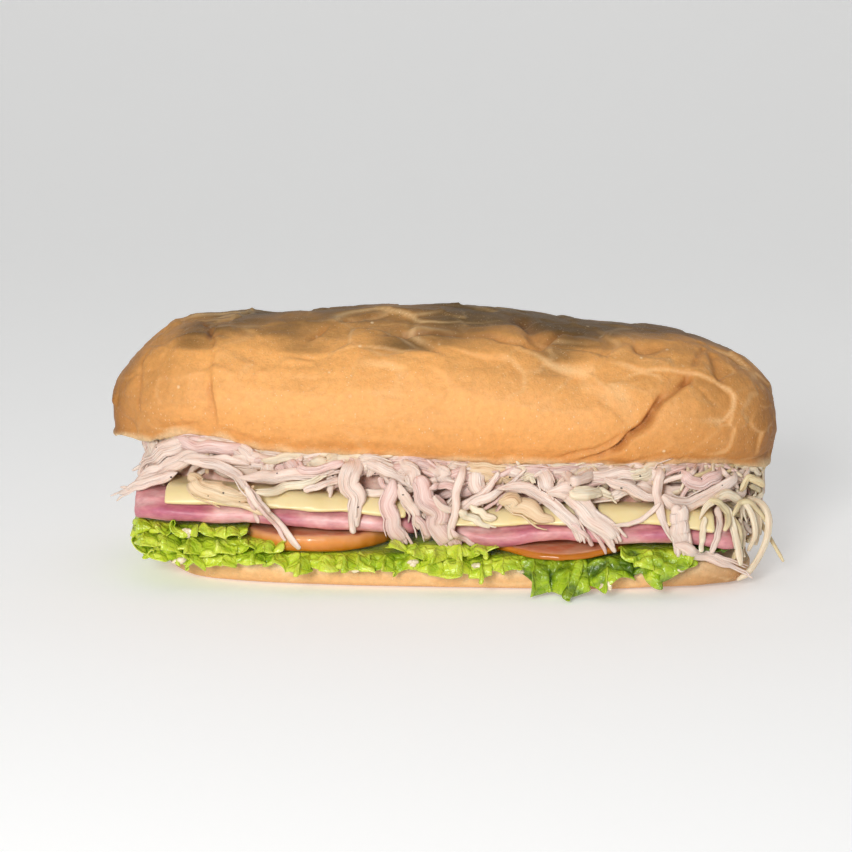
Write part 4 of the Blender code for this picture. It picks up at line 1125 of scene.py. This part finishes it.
class StrandBuilder:
    # gathers strands of one tone into one mesh

    def __init__(self):
        self.points, self.faces, self.uvs = [], [], []

    def tube(self, places, normals, width, thick, sides, draw, blunt=0.35, ragged=1.0):
        # a torn bundle of fibres: ribbed lengthwise, uneven in width, thin at its ends
        first = len(self.points)
        rings = len(places)
        seed = draw.uniform(0, 100)
        twist = draw.uniform(-0.35, 0.35)
        tips = [draw.uniform(0.05, 0.35), draw.uniform(0.05, 0.25)]
        reach = [draw.uniform(0.10, 0.25), draw.uniform(0.22, 0.50)]
        if width < 0.0036:
            tips = [max(tips[0], 0.3), tips[1] + 0.35]
            reach = [reach[0] * 0.6, reach[1] * 0.35]
        if blunt > 0.5:
            tips[1], reach[1] = 0.62, 0.10
        around = math.pi * (width + thick) / 2 * 1000
        gone = 0.0
        lengths = []
        for k, place in enumerate(places):
            share = k / (rings - 1)
            if k:
                gone += (place - places[k - 1]).length * 1000
            lengths.append(gone)
            ahead = (places[min(k + 1, rings - 1)] - places[max(k - 1, 0)]).normalized()
            across = ahead.cross(normals[k]).normalized()
            outward = across.cross(ahead).normalized()
            turn = twist * (share - 0.5) * 2 + 0.4 * noise.noise(Vector((share * 3, seed, 1)))
            a = across * math.cos(turn) + outward * math.sin(turn)
            b = outward * math.cos(turn) - across * math.sin(turn)
            size = min(1.0, tips[0] + share / reach[0] * (1 - tips[0]))
            size *= min(1.0, tips[1] + (1 - share) / reach[1] * (1 - tips[1]))
            size = size ** 0.7 * (0.95 + 0.18 * noise.noise(Vector((share * 5, seed, 7))))
            for m in range(sides):
                angle = 2 * math.pi * m / sides
                c, s = math.cos(angle), math.sin(angle)
                rib = 1 + 0.17 * noise.noise(Vector((c * 3.4, s * 3.4, share * 1.3 + seed)))
                rib += 0.12 * ragged * noise.noise(Vector((c * 8, s * 8, share * 3 + seed)))
                rib += 0.10 * ragged * c * c * noise.noise(Vector((share * 16, c + seed, 3)))
                rib *= size
                self.points.append(place + a * c * width / 2 * rib + b * s * thick / 2 * rib)
        for k in range(rings - 1):
            for m in range(sides):
                n = (m + 1) % sides
                r = first + k * sides
                self.faces.append((r + m, r + n, r + sides + n, r + sides + m))
                u0, u1 = lengths[k] + seed, lengths[k + 1] + seed
                v0, v1 = m / sides * around + seed, (m + 1) / sides * around + seed
                self.uvs += [(u0, v0), (u0, v1), (u1, v1), (u1, v0)]
        for ring, backward in ((0, True), (rings - 1, False)):
            r = first + ring * sides
            middle = sum((self.points[r + m] for m in range(sides)), Vector()) / sides
            nudge = (places[0] - places[1]) if backward else (places[-1] - places[-2])
            self.points.append(middle + nudge * 0.4)
            tip = len(self.points) - 1
            for m in range(sides):
                n = (m + 1) % sides
                self.faces.append((r + n, r + m, tip) if backward else (r + m, r + n, tip))
                v0, v1 = m / sides * around, (m + 1) / sides * around
                self.uvs += [(seed, v0), (seed, v1), (seed, v0)]

    def shred(self, places, normals, width, thick, draw, torn=False, fine=1.0):
        # a bundle with loose fibres along it and torn fingers at its lower end
        sides = 7
        sides = max(sides, round((24 if width > 0.0048 else 16 if width > 0.0030 else 10) * fine))
        self.tube(places, normals, width, thick, sides, draw, blunt=1.0 if torn else 0.35)
        if width < 0.0026:
            return
        count = len(places)

        def beside(t, off, up):
            # a place at t along the bundle, off to one side, up above it
            k = min(max(t, 0.0), 1.0) * (count - 1)
            a, b = int(k), min(int(k) + 1, count - 1)
            place = places[a].lerp(places[b], k - a)
            ahead = (places[min(b + 1, count - 1)] - places[max(a - 1, 0)]).normalized()
            across = ahead.cross(normals[a]).normalized()
            past = max(0.0, t - 1.0)
            return place + across * off * width / 2 + normals[a] * up + ahead * past

        threads = draw.choice([1, 2, 2, 3]) if width > 0.0038 else draw.choice([0, 1])
        for _ in range(threads):
            off = draw.uniform(-0.95, 0.95)
            drift = draw.uniform(-0.35, 0.35)
            t0, t1 = draw.uniform(0, 0.35), draw.uniform(0.6, 1.0)
            size = draw.uniform(0.0006, 0.0011)
            lie = thick / 2 * math.sqrt(max(0.05, 1 - off * off)) * 0.96
            route = [beside(t0 + (t1 - t0) * k / 11, off + drift * k / 11, lie) for k in range(12)]
            self.tube(route, [normals[0]] * 12, size, size * 0.8, 5, draw, ragged=0.5)
        if torn or (width > 0.0034 and draw.random() < 0.75):
            for turn in range(5 if torn else draw.choice([1, 2, 2, 3])):
                off, spread = draw.uniform(-0.6, 0.6), draw.uniform(-0.9, 0.9)
                if torn:
                    off, spread = -0.8 + 0.4 * turn, draw.uniform(-0.25, 0.25)
                extra = draw.uniform(0.0015, 0.0055)
                size = width * draw.uniform(0.16, 0.34)
                route = []
                for k in range(12):
                    t = 0.62 + 0.38 * k / 7 if k <= 7 else 1.0 + extra * (k - 7) / 4
                    out = off + spread * max(0.0, (k - 4) / 7) ** 1.4
                    route.append(beside(t, out, thick * 0.12))
                self.tube(route, [normals[-1]] * 12, size, size * 0.7, 7, draw, blunt=0.3)

    def finish(self, name, tone):
        obj = meshObject(name, self.points, self.faces)
        layer = obj.data.uv_layers.new(name="fibre")
        layer.data.foreach_set("uv", np.array(self.uvs, dtype=np.float32).ravel())
        smoothShade(obj)
        finishPiece(obj, chickenMaterial(tone), "chicken", "shredded_chicken")
        return obj


def strandRows(step=1):
    # the rows above with what they leave out filled in
    return [row + (0, False)[len(row) - 8:] for row in measuredStrands[::step]]


def layStrand(sheet, builder, ends, width, draw, cap=None, least=0.0, torn=False, fine=1.0):
    columns, heights, outs, thick = strandRoute(sheet, ends, width)
    if least:
        outs = np.maximum(outs, least * np.sin(np.linspace(0.25, 1, len(outs)) * math.pi / 2))
    outs = sheet.tucked(columns, heights, outs, width, thick)
    if cap is not None and (outs > cap).any():
        return False
    rings = max(10, int(heap["rings"] * fine))
    grid = np.linspace(0, 1, len(columns))
    places, normals = [], []
    waver = draw.uniform(0, 50)
    for t in np.linspace(0, 1, rings):
        i, z, out = (float(np.interp(t, grid, values)) for values in (columns, heights, outs))
        z += noise.noise(Vector((t * 4, waver, 0))) * width * 0.30
        i += noise.noise(Vector((t * 4, waver, 5))) * width * 0.30 / heap["cell"]
        place, normal = sheet.point(i, z, out)
        places.append(place)
        normals.append(Vector((normal[0], normal[1], 0.0)))
    builder.shred(places, normals, width, thick, draw, torn, fine)
    for i, z, out in zip(columns, heights, outs):
        sheet.raiseUnder(i, z, width * 0.46, out, thick)
    return True


def lowestFree(sheet, i):
    # the lowest height at this column where nothing of the layers below stands in front of the heap
    i = int(i) % sheet.columns
    column, core = sheet.obstacle[i], sheet.core[i]
    x = sheet.curve[i][0]
    j = int((along(lipHeights, x) - 0.004 - heap["lowest"]) / heap["cell"])
    while j > 0 and column[j] < core + 0.0025:
        j -= 1
    return max(heap["lowest"] + (j + 1) * heap["cell"], along(heap["floor"], x))


def fillStrands(sheet, builders, draw, first, last, count, tones, fine):
    # seeded strands that make up the heap behind the ones read off the photograph
    made = tries = 0
    lows = [lowestFree(sheet, i) for i in range(sheet.columns)]
    while made < count and tries < count * 14:
        tries += 1
        i = draw.uniform(first, last)
        x = sheet.curve[int(i) % sheet.columns][0]
        low, lip = lows[int(i) % sheet.columns], along(lipHeights, x)
        if lip - low < 0.003:
            continue
        atEnd = x > 0.092
        width = draw.choice(heap["endWidths"] if atEnd else heap["widths"])
        long = draw.uniform(0.014, 0.036)
        lean = draw.gauss(0, 0.75)
        z = draw.uniform(low + width * 0.3, lip + 0.001)
        half = long / 2 / heap["cell"]
        di, dz = half * math.cos(lean), long / 2 * math.sin(lean)
        bend = draw.uniform(-0.0035, 0.0035)
        ends = []
        for k in (-1, 0, 1):
            column = i + k * di
            bottom = lows[int(column) % sheet.columns] + width * 0.3
            top = along(lipHeights, sheet.curve[int(column) % sheet.columns][0]) + 0.002
            ends.append((column, min(max(z + k * dz + (bend if k == 0 else 0), min(bottom, top)), top)))
        if ends[0][1] < ends[2][1]:
            ends.reverse()
        tone = draw.choices(list(tones), list(tones.values()))[0]
        rise = heap["rise"]
        if atEnd:
            rise = heap["endRise"]
            if draw.random() < 0.6:
                tone = draw.choice(["yellow", "cream", "cream"])
        under = np.linspace(ends[0][0], ends[2][0], 40)
        cap = np.array([sheet.core[int(column) % sheet.columns] + rise for column in under])
        if layStrand(sheet, builders[tone], ends, width, draw, cap, fine=fine):
            made += 1
    print("fill strands", made, "of", count, "in", tries, "tries")


def chickenCore(sheet):
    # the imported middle, dark between the strands
    rows, step = 12, 6
    columns = list(range(0, sheet.columns, step))
    points, faces = [], []
    for i in columns:
        x = sheet.curve[i][0]
        low, lip = min(lowestFree(sheet, i), 0.045) - 0.001, along(lipHeights, x)
        for j in range(rows):
            z = low + (lip + 0.003 - low) * j / (rows - 1)
            out = sheet.core[i] - 0.0005 + 0.001 * noise.noise(Vector((i * 0.05, z * 200, 0)))
            points.append(sheet.point(i, z, out)[0])
    n = len(columns)
    for a in range(n):
        b = (a + 1) % n
        for j in range(rows - 1):
            faces.append((a * rows + j, b * rows + j, b * rows + j + 1, a * rows + j + 1))
    faces.append(tuple(a * rows for a in reversed(range(n))))
    faces.append(tuple(a * rows + rows - 1 for a in range(n)))
    obj = meshObject("chickenMiddle", points, faces)
    work = bmesh.new()
    work.from_mesh(obj.data)
    bmesh.ops.recalc_face_normals(work, faces=work.faces)
    bmesh.ops.triangulate(work, faces=[f for f in work.faces if len(f.verts) > 4])
    work.to_mesh(obj.data)
    work.free()
    smoothShade(obj, 60)
    finishPiece(obj, coreMaterial(), "chicken", "shredded_chicken")
    return obj


def coreMaterial():
    material, shader = newMaterial("packedChicken", 0.5, Subsurface_Weight=0.1, Subsurface_Scale=0.002)
    place = placeOf(material)
    colour = rampOf(material, noiseOf(material, place, 150.0, 4.0), (0.35, linear(186, 138, 122)),
                    (0.65, linear(224, 190, 174)))
    setColour(material, shader, colour)
    setBump(material, shader, noiseOf(material, place, 300.0, 4.0), 0.6, 0.002)
    return material


def shreddedChicken(others, bread):
    sheet = Sheet(treeOf(others), treeOf([bread]))
    draw = random.Random(heap["seed"])
    builders = {tone: StrandBuilder() for tone in chickenTones}
    half = sheet.columns / 2
    made = [chickenCore(sheet)]
    share = 1.0
    tones = {"pale": 2.6, "milky": 2.4, "pink": 3, "cream": 1.1, "tan": 0.3}
    fillStrands(sheet, builders, draw, 0, half, int(heap["frontFill"] * share), tones,
                heap["frontFine"])
    fillStrands(sheet, builders, draw, half, sheet.columns, int(heap["backFill"] * share), tones,
                heap["backFine"])
    for *numbers, width, tone, least, torn in strandRows():
        ends = [(sheet.column(numbers[k] / 1000), numbers[k + 1] / 1000 * 1.01 + 0.0005) for k in (0, 2, 4)]
        layStrand(sheet, builders[tone], ends, width / 1000, draw, least=least / 1000, torn=torn)
    # the back hangs like the front, with other bends
    for *numbers, width, tone, least, torn in strandRows(2):
        move = draw.uniform(-9, 9)
        ends = [(sheet.column((numbers[k] + move + draw.uniform(-3, 3)) / 1000, False),
                 (numbers[k + 1] + draw.uniform(-2, 3)) / 1000) for k in (0, 2, 4)]
        layStrand(sheet, builders[tone], ends, width / 1000, draw, torn=torn, fine=heap["backHangFine"])
    for width, tone, places in freeStrands:
        layFree(builders[tone], places, width / 1000, draw)
    for tone, builder in builders.items():
        made.append(builder.finish(tone + "Strands", tone))
    return made


# Small things

# Places are across and up as seen from the front, in millimetres; a dab also has its width and height.
smallThings = {
    "pepper": [(-112.5, 51.5), (-78, 34.5), (-106, 41), (-84, 38), (-64, 45), (-43, 44), (-27, 45),
               (-16, 38), (8, 41), (24, 44), (47, 43), (66, 41), (73, 45), (96, 44), (104, 41), (-33, 33),
               (-90, 36.5), (3, 44), (88, 46)],
    "sauce": [(-98, 21.5, 5.0, 3.6), (-12, 12.5, 4.0, 2.4), (-34, 9.5, 3.4, 2.4), (12, 11.0, 5.0, 2.8),
              (59.5, 6.5, 5.2, 4.4), (-57, 8.0, 3.6, 2.2), (-101, 11.0, 5.0, 2.8), (29, 9.0, 3.6, 2.4),
              (88, 10.5, 4.2, 2.2)],
    "backPepper": 14, "backSauce": 7, "grain": (0.00028, 0.00055), "sauceThick": 0.0006, "seed": 21,
}


def spotOn(tree, x, z, side):
    # the outermost surface at a place as seen from the front (-1) or the back (1)
    start = Vector((x / 1000, side * 0.2, z / 1000)) + shift
    hit, normal, _, _ = tree.ray_cast(start, Vector((0, -side, 0)))
    return hit, normal


def addBlob(place, normal, sizes, rough, seed):
    # an uneven flattened ball that lies on a surface
    bpy.ops.mesh.primitive_ico_sphere_add(subdivisions=2 if max(sizes) < 0.0006 else 3, radius=1.0)
    obj = bpy.context.object
    turn = normal.to_track_quat("Y", "Z")
    for vert in obj.data.vertices:
        uneven = 1 + rough * noise.noise(vert.co * 1.7 + Vector((seed, 0, 0)))
        local = Vector([vert.co[axis] * sizes[axis] * (1 if axis == 1 else uneven) for axis in range(3)])
        vert.co = place + turn @ local
    return obj


def joined(objects, name):
    deselectAll()
    for obj in objects:
        obj.select_set(True)
    bpy.context.view_layer.objects.active = objects[0]
    bpy.ops.object.join()
    whole = bpy.context.object
    whole.name = name
    return whole


def smallMaterial(name, roughness, colour):
    material, shader = newMaterial(name, roughness, Specular_IOR_Level=0.5)
    light = linear(*colour)
    dark = tuple(c * 0.72 for c in light[:3])
    tone = noiseOf(material, placeOf(material), 700.0)
    setColour(material, shader, rampOf(material, tone, (0.35, dark), (0.6, light)))
    return material


def smallBits(tree):
    draw = random.Random(smallThings["seed"])
    grains, dabs = [], []
    farGrains = [(draw.uniform(-105, 105), draw.uniform(38, 47)) for _ in range(smallThings["backPepper"])]
    farDabs = [(draw.uniform(-95, 95), draw.uniform(9, 13), draw.uniform(3, 5), draw.uniform(2, 3))
               for _ in range(smallThings["backSauce"])]
    for places, side in ((smallThings["pepper"], -1), (farGrains, 1)):
        for x, z in places:
            hit, normal = spotOn(tree, x, z, side)
            if hit:
                size = draw.uniform(*smallThings["grain"])
                sizes = (size, size * 0.7, size * draw.uniform(0.6, 1))
                grains.append(addBlob(hit + normal * size * 0.3, normal, sizes, 0.5, draw.uniform(0, 50)))
    for places, side in ((smallThings["sauce"], -1), (farDabs, 1)):
        for x, z, wide, tall in places:
            hit, normal = spotOn(tree, x, z, side)
            if not hit:
                continue
            normal = (normal + Vector((0, side, 0)) * 1.2).normalized()
            for _ in range(3):
                off = Vector((draw.uniform(-0.3, 0.3) * wide, 0, draw.uniform(-0.3, 0.3) * tall)) / 1000
                sizes = (wide / 3000, smallThings["sauceThick"], tall / 2800)
                dabs.append(addBlob(hit + off, normal, sizes, 0.45, draw.uniform(0, 50)))
    for objects, name, roughness, colour in ((grains, "pepperGrains", 0.6, (44, 34, 30)),
                                             (dabs, "sauceDabs", 0.22, (240, 222, 186))):
        whole = joined(objects, name)
        smoothShade(whole)
        finishPiece(whole, smallMaterial(name, roughness, colour), "chicken")
    return len(grains), len(dabs)


# The whole

upper = upperBread()
lower = lowerBread()
print("bread made", len(upper.data.polygons), len(lower.data.polygons))
cheeses = slicePieces("cheese", cheeseMaterial())
hams = slicePieces("ham", hamMaterial())
tomatoes = slicePieces("tomato", tomatoMaterial())
print("slices made", len(cheeses), len(hams), len(tomatoes))
leafMaterial = lettuceMaterial()
leaves = [leafPiece(name, look, leafMaterial) for name, look in leafTiers.items()]
leaves.append(leafRib(leafMaterial))
print("lettuce made", sum(len(obj.data.polygons) for obj in leaves))
strands = shreddedChicken([lower] + cheeses + hams + tomatoes, upper)
print("chicken made", sum(len(obj.data.polygons) for obj in strands))
print("grains and dabs made", *smallBits(treeOf(strands + leaves + [lower])))


# Floor, light and camera

studio = {"azimuth": 3.0, "elevation": 12.0, "distance": 0.90, "lens": 96.1, "aimHeight": 0.045,
          "aimRight": -0.0104, "aimUp": 0.0099, "ambient": 0.28, "keyPlace": (-0.26, -1.33, 0.50),
          "keySize": 0.35, "keyPower": 14.6, "topPlace": (0.1, 0.0, 1.2), "topSize": 0.9, "topPower": 0.8}


def placeCamera():
    a, e = math.radians(studio["azimuth"]), math.radians(studio["elevation"])
    back = Vector((math.sin(a) * math.cos(e), -math.cos(a) * math.cos(e), math.sin(e)))
    target = Vector((0, 0, studio["aimHeight"])) + shift
    right = Vector((0, 0, 1)).cross(back).normalized()
    up = back.cross(right).normalized()
    aim = target + right * studio["aimRight"] + up * studio["aimUp"]
    data = bpy.data.cameras.new("camera")
    data.lens = studio["lens"]
    data.sensor_width = 36
    camera = bpy.data.objects.new("camera", data)
    camera.location = target + back * studio["distance"]
    camera.rotation_euler = (camera.location - aim).to_track_quat("Z", "Y").to_euler()
    bpy.context.scene.collection.objects.link(camera)
    bpy.context.scene.camera = camera


def floorAndBackground():
    # a pale floor that curves up into the background
    profile = [(-9.0, 0.0), (1.2, 0.0)]
    profile += [(1.2 + 0.8 * math.sin(math.radians(a)), 0.8 - 0.8 * math.cos(math.radians(a)))
                for a in range(6, 91, 6)]
    profile.append((2.0, 3.0))
    points = [(x, y, z) for y, z in profile for x in (-9, 9)]
    faces = [(2 * k, 2 * k + 1, 2 * k + 3, 2 * k + 2) for k in range(len(profile) - 1)]
    floor = meshObject("floor", points, faces)
    material, _ = newMaterial("paleFloor", 0.7, Base_Color=linear(240, 240, 239), Specular_IOR_Level=0.1,
                              Emission_Color=(1, 1, 1, 1), Emission_Strength=0.24)
    floor.data.materials.append(material)
    smoothShade(floor)
    world = bpy.data.worlds.new("studio")
    world.use_nodes = True
    background = world.node_tree.nodes["Background"]
    background.inputs["Color"].default_value = (1.0, 1.0, 1.0, 1.0)
    background.inputs["Strength"].default_value = studio["ambient"]
    bpy.context.scene.world = world


def areaLight(name, place, target, size, power, colour=(1, 1, 1)):
    data = bpy.data.lights.new(name, "AREA")
    data.size = size
    data.energy = power
    data.color = colour
    light = bpy.data.objects.new(name, data)
    light.location = Vector(place)
    light.rotation_euler = (light.location - Vector(target)).to_track_quat("Z", "Y").to_euler()
    bpy.context.scene.collection.objects.link(light)


floorAndBackground()
areaLight("key", studio["keyPlace"], (0, 0, 0.04), studio["keySize"], studio["keyPower"])
areaLight("top", studio["topPlace"], (0, 0, 0.05), studio["topSize"], studio["topPower"])
placeCamera()
bpy.context.scene.view_settings.view_transform = "Standard"
